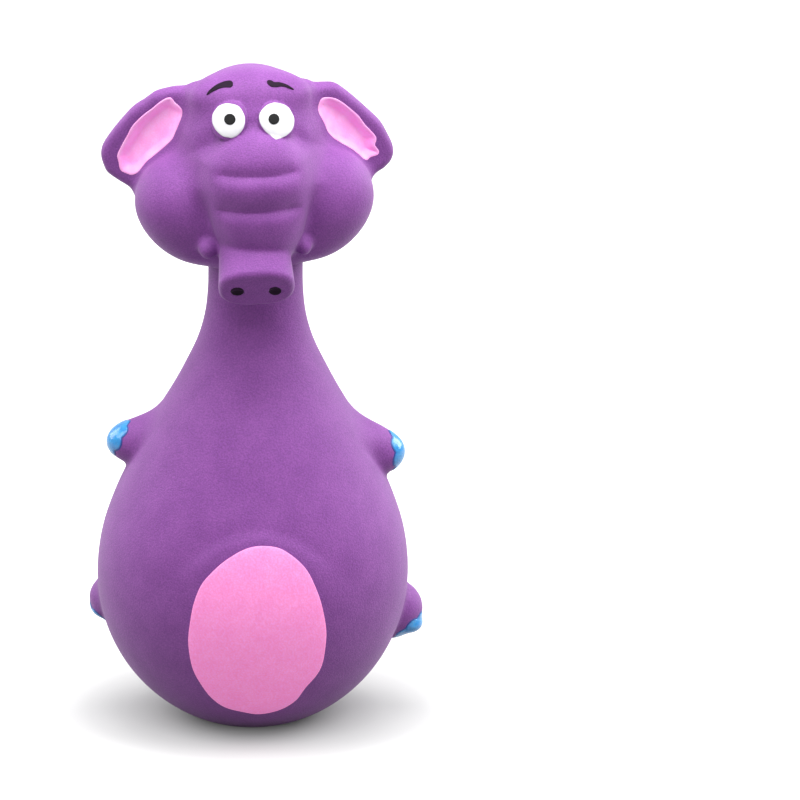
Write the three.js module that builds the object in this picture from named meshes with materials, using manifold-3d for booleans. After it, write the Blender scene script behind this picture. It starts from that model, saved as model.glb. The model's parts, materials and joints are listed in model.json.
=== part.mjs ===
// Squeaky dog toy: a moulded latex elephant that stands on a rounded pear-shaped body.
// Millimetres, +Z up, the face looks along -Y. The origin is the middle of the base on the floor.
import * as THREE from 'three';
import { mergeVertices } from 'three/addons/utils/BufferGeometryUtils.js';
import Module from 'manifold-3d';

const wasm = await Module();
wasm.setup();

// Fits that the whole toy shares
const gap = 0.3; // between pieces that meet
const wall = 1.8; // latex skin
const film = 0.4; // a coat of paint, with its build-up
const overrun = 2; // how far a cutting shape runs past what it cuts

// Body skin: widest low down, drawn in to the neck
const bodyRadius = 28.9;
const widestHeight = 28.3;
const baseFlatRadius = 8.3;
const neckRadius = 8.75;
const neckTopHeight = 87;
const neckLength = 21;
// Rows of [share of the way from the widest place to the neck's top, share of the drawing in]
const taperShares = [
  [0, 1], [0.131, 0.96], [0.25, 0.851], [0.368, 0.697], [0.487, 0.524], [0.605, 0.323],
  [0.685, 0.201], [0.763, 0.096], [0.842, 0.031], [0.922, 0.004], [1, 0],
];

// Base hole and the squeaker in it
const lipHeight = 1.9; // latex lip that the flange clips to
const flangeRadius = 5.5;
const flangeThickness = 1;
const barrelRadius = 4.6;
const barrelHeight = 12;
const barrelWall = 0.8;
const snapRingHeight = 0.9;
const snapRingReach = 0.7;
const airHoleRadius = 1.5;
const reedWidth = 2.4;
const reedLength = 7.2;
const reedThickness = 0.3;
const clampHeight = 2.6;
const channelWidth = 1.5;
const channelDepth = 1.2;
const lidThickness = 0.9;
const lidPlugDepth = 1.4;
const lidHoleRadius = 1.1;

// Limbs: stubs that swell out of the body, each with its middle sunk this far under the skin
const arm = { sink: 1.97, back: 1.6, height: 50.8, halfWidth: 7.4, halfDepth: 5.4, halfHeight: 6.2 };
const armLift = { left: 0.9, right: -0.9 }; // the hand-finished mould sets one arm a little higher
const foot = { sink: 2.89, back: 4.6, height: 19.5, halfWidth: 6.2, halfDepth: 6.4, halfHeight: 6 };
const footLift = { left: 0.4, right: -0.4 };
const armNailReach = 3.4;
const footNailReach = 3.2;
const tail = { height: 43, halfWidth: 2, halfDepth: 1.9, halfHeight: 5.6 };

// Belly patch
const bellyPatch = { side: 0.4, height: 22.6, halfWidth: 12.8, halfHeight: 17.6 };

// Head: measured up from the neck's top, with its slight turn and lean
const headTurnDegrees = 2.2;
const headLeanDegrees = 1.9;
const cranium = { rise: 23, halfWidth: 14, halfDepth: 14.6, halfHeight: 15.1 };
const cheek = { out: 13.6, forward: 3.6, rise: 12.5, halfWidth: 8.8, halfDepth: 9.6, halfHeight: 10.4 };
const jaw = { forward: 3, rise: 9.8, halfWidth: 15.5, halfDepth: 10.5, halfHeight: 8.8 };

// Trunk: rolls from the top down, then the snout below them
const roll = { forward: 12.2, rise: 18.6, pitch: 6.7, halfWidth: 9.9, halfDepth: 7.5, halfHeight: 4.6 };
const rollWidthShares = [0.9, 1, 0.95];
const rollForwardShares = [0.86, 1, 1.02];
const rollSquareShare = 0.62; // 1 is an ellipsoid, less has flatter ends
const snout = { rise: 1, forward: 20.8, halfWidth: 6.9, halfHeight: 4.9, length: 9.5, edge: 0.9 };
const snoutDroopDegrees = 38;
const nostril = { out: 3.5, halfWidth: 1.2, halfHeight: 1.35, depth: 0.9 };
const tusk = { out: 9.3, forward: 12.6, rise: 6.2, radius: 1.9, length: 2.6 };

// Face paint and eye domes
const eye = { out: 4.42, rise: 8.3, halfWidth: 3.1, halfHeight: 3.5, depth: 1.7 };
const pupilRadius = 1.03;
const pupilShift = 0.38;
const brow = { inner: 3.4, outer: 8.3, innerRise: 13.1, outerRise: 11.9, thick: 0.75, thin: 0.35, bow: 0.5 };

// Ears: the root line runs down the side of the head, and the flap hinges on it
const ear = { thickness: 4.2, edge: 1, rise: 14, forward: 1.5, pocketDepth: 1.7, rootWidth: 2.2 };
const earSwingRoom = 0.9; // between the flap and the head that it swings past
const earRootInner = 10.6;
const earSpans = { left: 17.5, right: 15.9 };
const earHeights = { left: 20.5, right: 18.9 };
const earLift = { left: 0, right: 1.5 };
const earSweepDegrees = 16;
const earRootLeanDegrees = 29;
const earRootLowShare = 0.15; // the root ends this share of the ear's height above its bottom
// Outline as [share of the span, share of the height], from the top of the root, out and down
const earOutlineShares = [
  [-0.1, 0.95], [0.2, 1], [0.43, 0.945], [0.62, 0.8], [0.77, 0.655], [0.885, 0.53], [0.965, 0.415],
  [1, 0.3], [0.965, 0.19], [0.88, 0.1], [0.77, 0.035], [0.62, 0], [0.4, 0.02], [0.05, 0.2], [-0.1, 0.6],
];
const earPocketShares = [
  [0.25, 0.86], [0.14, 0.74], [0.17, 0.56], [0.29, 0.42], [0.42, 0.33], [0.62, 0.19], [0.72, 0.17],
  [0.81, 0.27], [0.81, 0.37], [0.71, 0.53], [0.57, 0.69], [0.36, 0.83],
];

// Fineness of the round shapes
const bodySegments = 32;
const headSegments = 20;
const rollSegments = 18;
const bodyRings = 16;
const neckRings = 4;
const limbSegments = 16;
const detailSegments = 12;
const squeakerSegments = 24;

const latex = new THREE.MeshStandardMaterial({ color: 0x8c4fa8, roughness: 0.8, metalness: 0 });
const pinkPaint = new THREE.MeshStandardMaterial({ color: 0xfb9fd6, roughness: 0.75, metalness: 0 });
const bluePaint = new THREE.MeshStandardMaterial({ color: 0x45b4ee, roughness: 0.7, metalness: 0 });
const whitePaint = new THREE.MeshStandardMaterial({ color: 0xf6f5f2, roughness: 0.55, metalness: 0 });
const blackPaint = new THREE.MeshStandardMaterial({ color: 0x1c1a1d, roughness: 0.5, metalness: 0 });
const plumPaint = new THREE.MeshStandardMaterial({ color: 0x351440, roughness: 0.7, metalness: 0 });
const squeakerPlastic = new THREE.MeshStandardMaterial({ color: 0xe9e6dc, roughness: 0.5, metalness: 0 });
const reedBrass = new THREE.MeshStandardMaterial({ color: 0xc9a14a, roughness: 0.35, metalness: 1 });

// A closed geometry becomes a solid that can be joined and cut.
function solidOf(geometry) {
  const bare = geometry.clone();
  bare.deleteAttribute('normal');
  bare.deleteAttribute('uv');
  const merged = mergeVertices(bare.index ? bare.toNonIndexed() : bare);
  const index = Array.from(merged.index.array);
  const kept = [];
  for (let i = 0; i < index.length; i += 3) {
    const [a, b, c] = index.slice(i, i + 3);
    if (a !== b && b !== c && c !== a) kept.push(a, b, c);
  }
  const mesh = new wasm.Mesh({
    numProp: 3,
    vertProperties: Float32Array.from(merged.attributes.position.array),
    triVerts: Uint32Array.from(kept),
  });
  return new wasm.Manifold(mesh);
}

function geometryOf(solid) {
  const mesh = solid.getMesh();
  const geometry = new THREE.BufferGeometry();
  geometry.setAttribute('position', new THREE.BufferAttribute(mesh.vertProperties, 3));
  geometry.setIndex(new THREE.BufferAttribute(mesh.triVerts, 1));
  const faceted = geometry.toNonIndexed();
  faceted.computeVertexNormals();
  return faceted;
}

function addPiece(group, name, solid, material) {
  const mesh = new THREE.Mesh(geometryOf(solid), material);
  mesh.name = name;
  group.add(mesh);
}

// A profile of [radius, height] points, turned about Z
function turned(points, segments) {
  const profile = points.map(([radius, height]) => new THREE.Vector2(radius, height));
  return solidOf(new THREE.LatheGeometry(profile, segments).rotateX(Math.PI / 2));
}

function ellipsoid(centre, radii, segments, squareShare = 1) {
  const unit = new THREE.SphereGeometry(1, segments, Math.round(segments * 0.6)).rotateX(Math.PI / 2);
  const across = unit.attributes.position;
  for (let i = 0; i < across.count; i += 1) {
    const x = across.getX(i);
    across.setX(i, Math.sign(x) * Math.abs(x) ** squareShare);
  }
  return solidOf(unit.scale(...radii).translate(...centre));
}

// A closed outline pushed through from z = low to z = high
function prism(outline, low, high) {
  const options = { depth: high - low, bevelEnabled: false, curveSegments: detailSegments };
  return solidOf(new THREE.ExtrudeGeometry(outline, options).translate(0, 0, low));
}

// The same, with its edges rounded by the given size
function roundedPrism(outline, thickness, edge) {
  const options = { depth: thickness - 2 * edge, bevelThickness: edge, bevelSize: edge, bevelSegments: 3 };
  options.bevelOffset = -edge;
  options.curveSegments = detailSegments;
  return solidOf(new THREE.ExtrudeGeometry(outline, options).translate(0, 0, edge - thickness / 2));
}

// Moves a solid with a matrix.
function placed(solid, matrix) {
  return solid.transform(matrix.toArray());
}

// The body's radius at a height: a smooth curve through the taper, over an elliptical bottom
function smoothThrough(rows, place) {
  const last = rows.length - 1;
  let i = 0;
  while (i < last - 1 && place > rows[i + 1][0]) i += 1;
  const slope = (k) => {
    const before = rows[Math.max(k - 1, 0)];
    const after = rows[Math.min(k + 1, last)];
    return (after[1] - before[1]) / (after[0] - before[0]);
  };
  const [start, end] = [rows[i], rows[i + 1]];
  const width = end[0] - start[0];
  const t = Math.min(Math.max((place - start[0]) / width, 0), 1);
  const startSlope = i === 0 ? 0 : slope(i);
  const endSlope = i + 1 === last ? 0 : slope(i + 1);
  const blend = t * t * (3 - 2 * t);
  const ease = t * (1 - t);
  const bend = width * ease * (startSlope * (1 - t) - endSlope * t);
  return start[1] + (end[1] - start[1]) * blend + bend;
}

const bottomDepth = widestHeight / Math.sqrt(1 - (baseFlatRadius / bodyRadius) ** 2);

function bodyRadiusAt(height) {
  if (height <= widestHeight) {
    const drop = (widestHeight - height) / bottomDepth;
    return bodyRadius * Math.sqrt(1 - drop * drop);
  }
  const share = (height - widestHeight) / (neckTopHeight - widestHeight);
  return neckRadius + (bodyRadius - neckRadius) * smoothThrough(taperShares, share);
}

// The skin's profile between two heights, moved out by an offset along its own normal
function skinProfile(low, high, offset, count) {
  const points = [];
  const lowAngle = Math.asin(Math.min((widestHeight - low) / bottomDepth, 1));
  const bottomCount = low < widestHeight ? Math.round(count * 0.4) : 0;
  for (let i = 0; i < bottomCount; i += 1) {
    const angle = -lowAngle * (1 - i / bottomCount);
    points.push([bodyRadius * Math.cos(angle), widestHeight + bottomDepth * Math.sin(angle)]);
  }
  const start = Math.max(low, widestHeight);
  const upperCount = count - bottomCount;
  for (let i = 0; i <= upperCount; i += 1) {
    const height = start + ((high - start) * i) / upperCount;
    points.push([bodyRadiusAt(height), height]);
  }
  return points.map(([radius, height], i) => {
    const before = points[Math.max(i - 1, 0)];
    const after = points[Math.min(i + 1, points.length - 1)];
    const along = new THREE.Vector2(after[0] - before[0], after[1] - before[1]).normalize();
    return [radius + along.y * offset, height - along.x * offset];
  });
}

// The body as a plain solid, grown by an offset, that cuts what stands on it
function grownBody(offset) {
  const profile = skinProfile(0, neckTopHeight, offset, bodyRings + 2 * neckRings);
  return turned([[0, profile[0][1]], ...profile, [0, profile.at(-1)[1]]], bodySegments);
}

const neckSeamHeight = neckTopHeight - neckLength;
const neckMiddleHeight = neckTopHeight - neckLength / 2;
const recessRadius = flangeRadius + gap;
const recessDepth = flangeThickness + 2 * gap;
const lipTop = recessDepth + lipHeight;
const holeRadius = barrelRadius + gap;

function bodySkin() {
  const outer = skinProfile(0, neckSeamHeight, 0, bodyRings);
  const inner = skinProfile(0, neckSeamHeight, -wall, bodyRings).filter(([, height]) => height > lipTop + gap);
  const seamInner = [bodyRadiusAt(neckSeamHeight) - wall, neckSeamHeight];
  const cavity = inner.slice(0, -1).reverse();
  const base = [[holeRadius, lipTop], [holeRadius, recessDepth], [recessRadius, recessDepth]];
  const ring = [[recessRadius, 0], ...outer, seamInner, ...cavity, ...base, [recessRadius, 0]];
  return turned(ring, bodySegments);
}

function neckSkin(low, high) {
  const outer = skinProfile(low, high, 0, neckRings);
  const ring = [...outer, [outer.at(-1)[0] - wall, high], [outer[0][0] - wall, low], outer[0]];
  return turned(ring, bodySegments);
}

// Squeaker: a flanged cup in the base hole, its reed held between two half-round blocks, and a lid
const boreRadius = barrelRadius - barrelWall;
const flangeTop = gap + flangeThickness;
const blockRadius = boreRadius - gap;
const barrelTop = gap + barrelHeight;
const seatLow = flangeTop + 2 * gap;
const seatHigh = seatLow + reedLength + gap;
const snapLow = lipTop + gap;

function squeakerCup() {
  const snapHigh = snapLow + snapRingHeight;
  const snapRadius = barrelRadius + snapRingReach;
  return turned([
    [airHoleRadius, gap], [flangeRadius, gap], [flangeRadius, flangeTop], [barrelRadius, flangeTop],
    [barrelRadius, snapLow], [snapRadius, snapLow], [barrelRadius, snapHigh], [barrelRadius, barrelTop],
    [boreRadius, barrelTop], [boreRadius, flangeTop + gap], [airHoleRadius, flangeTop + gap],
    [airHoleRadius, gap],
  ], squeakerSegments);
}

function box(lowCorner, highCorner) {
  const size = highCorner.map((high, i) => high - lowCorner[i]);
  const middle = highCorner.map((high, i) => (high + lowCorner[i]) / 2);
  return solidOf(new THREE.BoxGeometry(...size).translate(...middle));
}

function halfBlock(low, high, side) {
  const round = turned([[0, low], [blockRadius, low], [blockRadius, high], [0, high]], squeakerSegments);
  const face = reedThickness / 2 + gap;
  const reach = blockRadius + overrun;
  const far = side > 0 ? [-reach, -reach, low - overrun] : [-reach, -face, low - overrun];
  const near = side > 0 ? [reach, face, high + overrun] : [reach, reach, high + overrun];
  return round.subtract(box(far, near));
}

function reedSeat() {
  const face = reedThickness / 2 + gap;
  const channelHigh = seatHigh - clampHeight;
  const low = [-channelWidth / 2, face - overrun, seatLow - overrun];
  const channel = box(low, [channelWidth / 2, face + channelDepth, channelHigh]);
  return halfBlock(seatLow, seatHigh, 1).subtract(channel);
}

function reed() {
  const half = [reedWidth / 2, reedThickness / 2];
  return box([-half[0], -half[1], seatLow + gap], [half[0], half[1], seatLow + gap + reedLength]);
}

function reedClamp() {
  return halfBlock(seatHigh - clampHeight, seatHigh, -1);
}

function squeakerLid() {
  const seat = barrelTop + gap;
  return turned([
    [lidHoleRadius, barrelTop - lidPlugDepth], [blockRadius, barrelTop - lidPlugDepth],
    [blockRadius, seat], [barrelRadius, seat], [barrelRadius, seat + lidThickness],
    [lidHoleRadius, seat + lidThickness], [lidHoleRadius, barrelTop - lidPlugDepth],
  ], squeakerSegments);
}

// Stubs on the body, a side being -1 for left and 1 for right
function limbOut(size) {
  return bodyRadiusAt(size.height) - size.sink;
}

function limb(size, side, lift, grow) {
  const centre = [side * limbOut(size), size.back, size.height + lift];
  const radii = [size.halfWidth + grow, size.halfDepth + grow, size.halfHeight + grow];
  return ellipsoid(centre, radii, limbSegments);
}

// Paint over the end of a stub: a thin shell of it beyond a place
function nailFilm(size, side, lift, reach, bodyCut, below) {
  const shell = limb(size, side, lift, gap + film).subtract(limb(size, side, lift, gap));
  const tip = limbOut(size) + size.halfWidth;
  const near = side * (tip - reach);
  const far = side * (tip + overrun);
  const depth = size.halfDepth + overrun;
  const middle = size.height + lift;
  const top = below ? middle - size.halfHeight / 4 : middle + size.halfHeight + overrun;
  const low = [Math.min(near, far), size.back - depth, middle - size.halfHeight - overrun];
  const high = [Math.max(near, far), size.back + depth, top];
  return shell.subtract(bodyCut).intersect(box(low, high));
}

function ellipseOutline(halfWidth, halfHeight) {
  const outline = new THREE.Shape();
  outline.absellipse(0, 0, halfWidth, halfHeight, 0, 2 * Math.PI);
  return outline;
}

// Turns a prism's length from +Z to -Y, so that an outline drawn in x and y stands up facing forward
const facingForward = new THREE.Matrix4().makeRotationX(Math.PI / 2);

function bellyPatchFilm() {
  const { side, height, halfWidth, halfHeight } = bellyPatch;
  const outline = ellipseOutline(halfWidth, halfHeight);
  const through = placed(prism(outline, 0, bodyRadius + overrun), facingForward);
  const mask = placed(through, new THREE.Matrix4().makeTranslation(side, 0, height));
  return grownBody(gap + film).subtract(grownBody(gap)).intersect(mask);
}

function tailStub(bodyCut) {
  const radius = bodyRadiusAt(tail.height);
  const above = bodyRadiusAt(tail.height + tail.halfHeight);
  const slope = Math.atan2(radius - above, tail.halfHeight);
  const matrix = new THREE.Matrix4().makeRotationX(slope);
  matrix.setPosition(0, radius, tail.height);
  const radii = [tail.halfWidth, tail.halfDepth, tail.halfHeight];
  return placed(ellipsoid([0, 0, 0], radii, limbSegments), matrix).subtract(bodyCut);
}

// Head, in its own frame: the origin is the middle of the neck's top
const throatSeam = gap + neckRadius * Math.sin(THREE.MathUtils.degToRad(headLeanDegrees));

function headForm(grow, throatLow) {
  const skull = ellipsoid(
    [0, 0, cranium.rise],
    [cranium.halfWidth + grow, cranium.halfDepth + grow, cranium.halfHeight + grow],
    headSegments,
  );
  const throat = turned([
    [0, throatLow], [neckRadius + grow, throatLow], [neckRadius + grow, cranium.rise], [0, cranium.rise],
  ], headSegments);
  const chin = ellipsoid(
    [0, -jaw.forward, jaw.rise],
    [jaw.halfWidth + grow, jaw.halfDepth + grow, jaw.halfHeight + grow],
    headSegments,
  );
  const cheeks = [-1, 1].map((side) => ellipsoid(
    [side * cheek.out, -cheek.forward, cheek.rise],
    [cheek.halfWidth + grow, cheek.halfDepth + grow, cheek.halfHeight + grow],
    headSegments,
  ));
  return skull.add(throat).add(chin).add(cheeks[0]).add(cheeks[1]);
}

// A place on the front of the cranium and the way it faces there
function onCranium(x, rise) {
  const { halfWidth, halfDepth, halfHeight } = cranium;
  const inside = 1 - (x / halfWidth) ** 2 - (rise / halfHeight) ** 2;
  const y = -halfDepth * Math.sqrt(Math.max(inside, 0));
  const facing = new THREE.Vector3(x / halfWidth ** 2, y / halfDepth ** 2, rise / halfHeight ** 2).normalize();
  return { place: new THREE.Vector3(x, y, cranium.rise + rise), facing };
}

// A frame on a surface whose z axis faces outwards and whose y axis runs up it
function standingOn(place, facing) {
  const across = new THREE.Vector3(0, 0, 1).cross(facing).normalize();
  const up = facing.clone().cross(across);
  return new THREE.Matrix4().makeBasis(across, up, facing).setPosition(place);
}

function eyeFrame(side) {
  const { place, facing } = onCranium(side * eye.out, eye.rise);
  return standingOn(place, facing);
}

function eyeForm(side, grow) {
  const radii = [eye.halfWidth + grow, eye.halfHeight + grow, eye.depth + grow];
  return placed(ellipsoid([0, 0, 0], radii, limbSegments), eyeFrame(side));
}

function pupilFilm(side) {
  const shell = eyeForm(side, gap + film).subtract(eyeForm(side, gap));
  const disc = prism(ellipseOutline(pupilRadius, pupilRadius), 0, eye.depth + overrun);
  const frame = eyeFrame(side).multiply(new THREE.Matrix4().makeTranslation(-side * pupilShift, pupilShift, 0));
  return shell.intersect(placed(disc, frame));
}

// A brow: a tapered, slightly bowed stroke of paint, thick at its inner end
function browFilm(side) {
  const middleX = (brow.inner + brow.outer) / 2;
  const { place, facing } = onCranium(side * middleX, (brow.innerRise + brow.outerRise) / 2);
  const along = (brow.outer - brow.inner) / 2;
  const drop = (brow.innerRise - brow.outerRise) / 2;
  const upper = new THREE.QuadraticBezierCurve(
    new THREE.Vector2(-along, drop + brow.thick),
    new THREE.Vector2(0, brow.bow + brow.thick),
    new THREE.Vector2(along, brow.thin - drop),
  );
  const lower = new THREE.QuadraticBezierCurve(
    new THREE.Vector2(along, -brow.thin - drop),
    new THREE.Vector2(0, brow.bow - brow.thick),
    new THREE.Vector2(-along, drop - brow.thick),
  );
  const points = [...upper.getPoints(6), ...lower.getPoints(6)];
  const outline = new THREE.Shape(points.map((point) => new THREE.Vector2(side * point.x, point.y)));
  const stroke = placed(prism(outline, -overrun, overrun), standingOn(place, facing));
  return headForm(gap + film, throatSeam).subtract(headForm(gap, throatSeam)).intersect(stroke);
}

function trunkRolls(grow) {
  const rolls = rollWidthShares.map((widthShare, i) => ellipsoid(
    [0, -roll.forward * rollForwardShares[i], roll.rise + roll.pitch * (1 - i)],
    [roll.halfWidth * widthShare + grow, roll.halfDepth + grow, roll.halfHeight + grow],
    rollSegments,
    rollSquareShare,
  ));
  return rolls[0].add(rolls[1]).add(rolls[2]);
}

// The snout's frame: its origin is the middle of the end face and its z axis points out of it
const droop = THREE.MathUtils.degToRad(snoutDroopDegrees);
const snoutFacing = new THREE.Vector3(0, -Math.cos(droop), -Math.sin(droop));
const snoutFrame = standingOn(new THREE.Vector3(0, -snout.forward, snout.rise), snoutFacing);

function snoutPipe(grow) {
  const outline = ellipseOutline(snout.halfWidth + grow, snout.halfHeight + grow);
  const pipe = roundedPrism(outline, snout.length + grow, snout.edge);
  const back = new THREE.Matrix4().makeTranslation(0, 0, (grow - snout.length) / 2);
  return placed(pipe, snoutFrame.clone().multiply(back));
}

function nostrilForm(side, grow) {
  const radii = [nostril.halfWidth + grow, nostril.halfHeight + grow, nostril.depth + grow];
  const there = new THREE.Matrix4().makeTranslation(side * nostril.out, 0, -gap);
  return placed(ellipsoid([0, 0, 0], radii, detailSegments), snoutFrame.clone().multiply(there));
}

function nostrilFilm(side) {
  const outside = placed(
    prism(ellipseOutline(snout.halfWidth, snout.halfHeight), -gap, overrun),
    snoutFrame,
  );
  return nostrilForm(side, 0).subtract(outside);
}

function tuskNub(side) {
  const centre = [side * tusk.out, -tusk.forward, tusk.rise];
  return ellipsoid(centre, [tusk.radius, tusk.radius, tusk.length], detailSegments);
}

// An ear's frame: x runs out along the flap, y up it, z out of its front
function earFrame(side) {
  const sweep = THREE.MathUtils.degToRad(earSweepDegrees);
  const outward = new THREE.Vector3(side * Math.cos(sweep), Math.sin(sweep), 0);
  const front = new THREE.Vector3(side * Math.sin(sweep), -Math.cos(sweep), 0);
  const place = new THREE.Vector3(side * earRootInner, -ear.forward, ear.rise);
  return new THREE.Matrix4().makeBasis(outward, new THREE.Vector3(0, 0, 1), front).setPosition(place);
}

function earOutline(name, shares) {
  const points = shares.map(([out, up]) => new THREE.Vector2(
    out * earSpans[name],
    earLift[name] + up * earHeights[name],
  ));
  const curve = new THREE.CatmullRomCurve3(points.map((p) => new THREE.Vector3(p.x, p.y, 0)), true);
  const round = curve.getPoints(2 * shares.length).slice(0, -1);
  return new THREE.Shape(round.map((p) => new THREE.Vector2(p.x, p.y)));
}

// Everything on one side of the root line, which leans out as it goes down
function beyondRoot(name, start, end, low) {
  const lean = Math.tan(THREE.MathUtils.degToRad(earRootLeanDegrees));
  const high = earLift[name] + earHeights[name] + overrun;
  const root = (height) => (high - height) * lean;
  const outline = new THREE.Shape([
    new THREE.Vector2(root(low) + start, low),
    new THREE.Vector2(root(low) + end, low),
    new THREE.Vector2(root(high) + end, high),
    new THREE.Vector2(root(high) + start, high),
  ]);
  return prism(outline, -ear.thickness, ear.thickness);
}

function mirroredIfLeft(side) {
  return side < 0 ? new THREE.Matrix4().makeScale(-1, 1, 1) : new THREE.Matrix4();
}

function earPieces(name, side, headCut, swingCut) {
  const whole = roundedPrism(earOutline(name, earOutlineShares), ear.thickness, ear.edge);
  const pocketFloor = ear.thickness / 2 - ear.pocketDepth;
  const pocket = prism(earOutline(name, earPocketShares), pocketFloor, ear.thickness);
  const floorFilm = prism(earOutline(name, earPocketShares), pocketFloor + gap, pocketFloor + gap + film);
  const frame = mirroredIfLeft(side).multiply(earFrame(1));
  const skin = placed(whole.subtract(pocket), frame).subtract(headCut);
  const rootLow = earLift[name] + earRootLowShare * earHeights[name];
  const flapLow = earLift[name] - overrun;
  const rootZone = placed(beyondRoot(name, -earSpans[name], ear.rootWidth, rootLow), frame);
  const flapZone = placed(beyondRoot(name, ear.rootWidth + gap, 2 * earSpans[name], flapLow), frame);
  const paint = placed(floorFilm, frame).subtract(swingCut);
  return { root: skin.intersect(rootZone), flap: skin.intersect(flapZone).subtract(swingCut), paint };
}

const toy = new THREE.Group();
const bodyGroup = new THREE.Group();
const headGroup = new THREE.Group();
headGroup.position.set(0, 0, neckTopHeight);
headGroup.rotation.set(
  0,
  -THREE.MathUtils.degToRad(headLeanDegrees),
  THREE.MathUtils.degToRad(headTurnDegrees),
);
toy.add(bodyGroup, headGroup);

const bodyCut = grownBody(gap);
addPiece(bodyGroup, 'body_skin', bodySkin(), latex);
addPiece(bodyGroup, 'neck_lower', neckSkin(neckSeamHeight + gap, neckMiddleHeight), latex);
addPiece(bodyGroup, 'neck_upper', neckSkin(neckMiddleHeight + gap, neckTopHeight), latex);
addPiece(bodyGroup, 'belly_patch', bellyPatchFilm(), pinkPaint);
addPiece(bodyGroup, 'tail', tailStub(bodyCut), latex);
addPiece(bodyGroup, 'squeaker_cup', squeakerCup(), squeakerPlastic);
addPiece(bodyGroup, 'reed_seat', reedSeat(), squeakerPlastic);
addPiece(bodyGroup, 'reed', reed(), reedBrass);
addPiece(bodyGroup, 'reed_clamp', reedClamp(), squeakerPlastic);
addPiece(bodyGroup, 'squeaker_lid', squeakerLid(), squeakerPlastic);

const headCut = headForm(gap, throatSeam);
const swingCut = headForm(earSwingRoom, throatSeam);
const eyeCuts = eyeForm(-1, gap).add(eyeForm(1, gap));
const trunk = trunkRolls(0).subtract(headCut).subtract(eyeCuts);
const nostrilCuts = nostrilForm(-1, gap).add(nostrilForm(1, gap));
const trunkCut = trunkRolls(gap);
addPiece(headGroup, 'head_skin', headForm(0, throatSeam).subtract(headForm(-wall, -overrun)), latex);
addPiece(headGroup, 'trunk', trunk, latex);
addPiece(headGroup, 'snout', snoutPipe(0).subtract(trunkCut).subtract(headCut).subtract(nostrilCuts), latex);

for (const [name, side] of [['left', -1], ['right', 1]]) {
  const armNails = nailFilm(arm, side, armLift[name], armNailReach, bodyCut, false);
  const footNails = nailFilm(foot, side, footLift[name], footNailReach, bodyCut, true);
  addPiece(bodyGroup, `arm_${name}`, limb(arm, side, armLift[name], 0).subtract(bodyCut), latex);
  addPiece(bodyGroup, `foot_${name}`, limb(foot, side, footLift[name], 0).subtract(bodyCut), latex);
  addPiece(bodyGroup, `arm_nails_${name}`, armNails, bluePaint);
  addPiece(bodyGroup, `foot_nails_${name}`, footNails, bluePaint);
  addPiece(headGroup, `eye_${name}`, eyeForm(side, 0).subtract(headCut), whitePaint);
  addPiece(headGroup, `pupil_${name}`, pupilFilm(side), blackPaint);
  addPiece(headGroup, `brow_${name}`, browFilm(side), plumPaint);
  addPiece(headGroup, `nostril_${name}`, nostrilFilm(side), plumPaint);
  const nub = tuskNub(side).subtract(headCut).subtract(trunkCut).subtract(snoutPipe(gap));
  addPiece(headGroup, `tusk_${name}`, nub, latex);
  const { root, flap, paint } = earPieces(name, side, headCut, swingCut);
  addPiece(headGroup, `ear_root_${name}`, root, latex);
  addPiece(headGroup, `ear_${name}`, flap, latex);
  addPiece(headGroup, `inner_ear_${name}`, paint, pinkPaint);
}

export default toy;
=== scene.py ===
# %% [markdown]
# # A squeaky dog toy
# A latex elephant that stands on a round, pear-shaped body. The real one is a single hollow skin:
# latex is poured into a plaster mould, the skin is pulled out, and the belly, ears, nails, eyes and
# brows are painted on by hand. A plastic squeaker sits in its base.
#
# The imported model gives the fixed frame, with every size and every body that moves. This script puts
# the skin and the paint round it. Lengths here are in millimetres until they go into a mesh.

import json
import math

import bpy
import numpy as np
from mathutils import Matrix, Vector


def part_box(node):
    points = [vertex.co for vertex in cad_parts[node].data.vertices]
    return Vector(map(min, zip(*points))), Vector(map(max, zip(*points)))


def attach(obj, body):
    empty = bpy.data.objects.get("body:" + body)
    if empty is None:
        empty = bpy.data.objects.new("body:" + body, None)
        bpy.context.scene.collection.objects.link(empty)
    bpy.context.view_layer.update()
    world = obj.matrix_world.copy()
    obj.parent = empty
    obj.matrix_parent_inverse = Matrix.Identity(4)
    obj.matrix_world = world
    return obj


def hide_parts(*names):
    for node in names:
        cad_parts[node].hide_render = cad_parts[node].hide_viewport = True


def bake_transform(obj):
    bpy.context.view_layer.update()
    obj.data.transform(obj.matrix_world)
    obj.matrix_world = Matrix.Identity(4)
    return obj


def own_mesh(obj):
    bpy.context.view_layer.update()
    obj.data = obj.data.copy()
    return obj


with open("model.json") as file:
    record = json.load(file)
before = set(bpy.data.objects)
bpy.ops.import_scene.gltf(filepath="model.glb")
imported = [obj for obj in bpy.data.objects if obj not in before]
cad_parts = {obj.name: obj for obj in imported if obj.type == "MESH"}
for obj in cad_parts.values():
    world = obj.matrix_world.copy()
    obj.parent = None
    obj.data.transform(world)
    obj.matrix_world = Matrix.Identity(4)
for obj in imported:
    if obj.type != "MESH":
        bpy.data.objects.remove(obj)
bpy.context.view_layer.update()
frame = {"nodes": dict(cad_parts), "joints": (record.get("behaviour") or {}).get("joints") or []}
MM = 0.001
TINY = 1e-9
joints = {joint["name"]: joint for joint in frame["joints"]}


def node_box(node):
    """The lowest and highest corner of one solid of the model, in millimetres."""
    low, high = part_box(node)
    return np.array(low) / MM, np.array(high) / MM


# %% [markdown]
# ## Camera
# The photograph was taken from a little above, straight at the face, from far enough away that the
# toy hardly narrows with distance. A long lens gives that. The toy stands left of the middle, which a
# sideways shift gives without turning the camera. A camera can be set by eye in Blender's window, but
# here it is worked out in numbers: later cells lay the paint where the photograph shows it, and need
# the ray that runs through each of its pixels.

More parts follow.
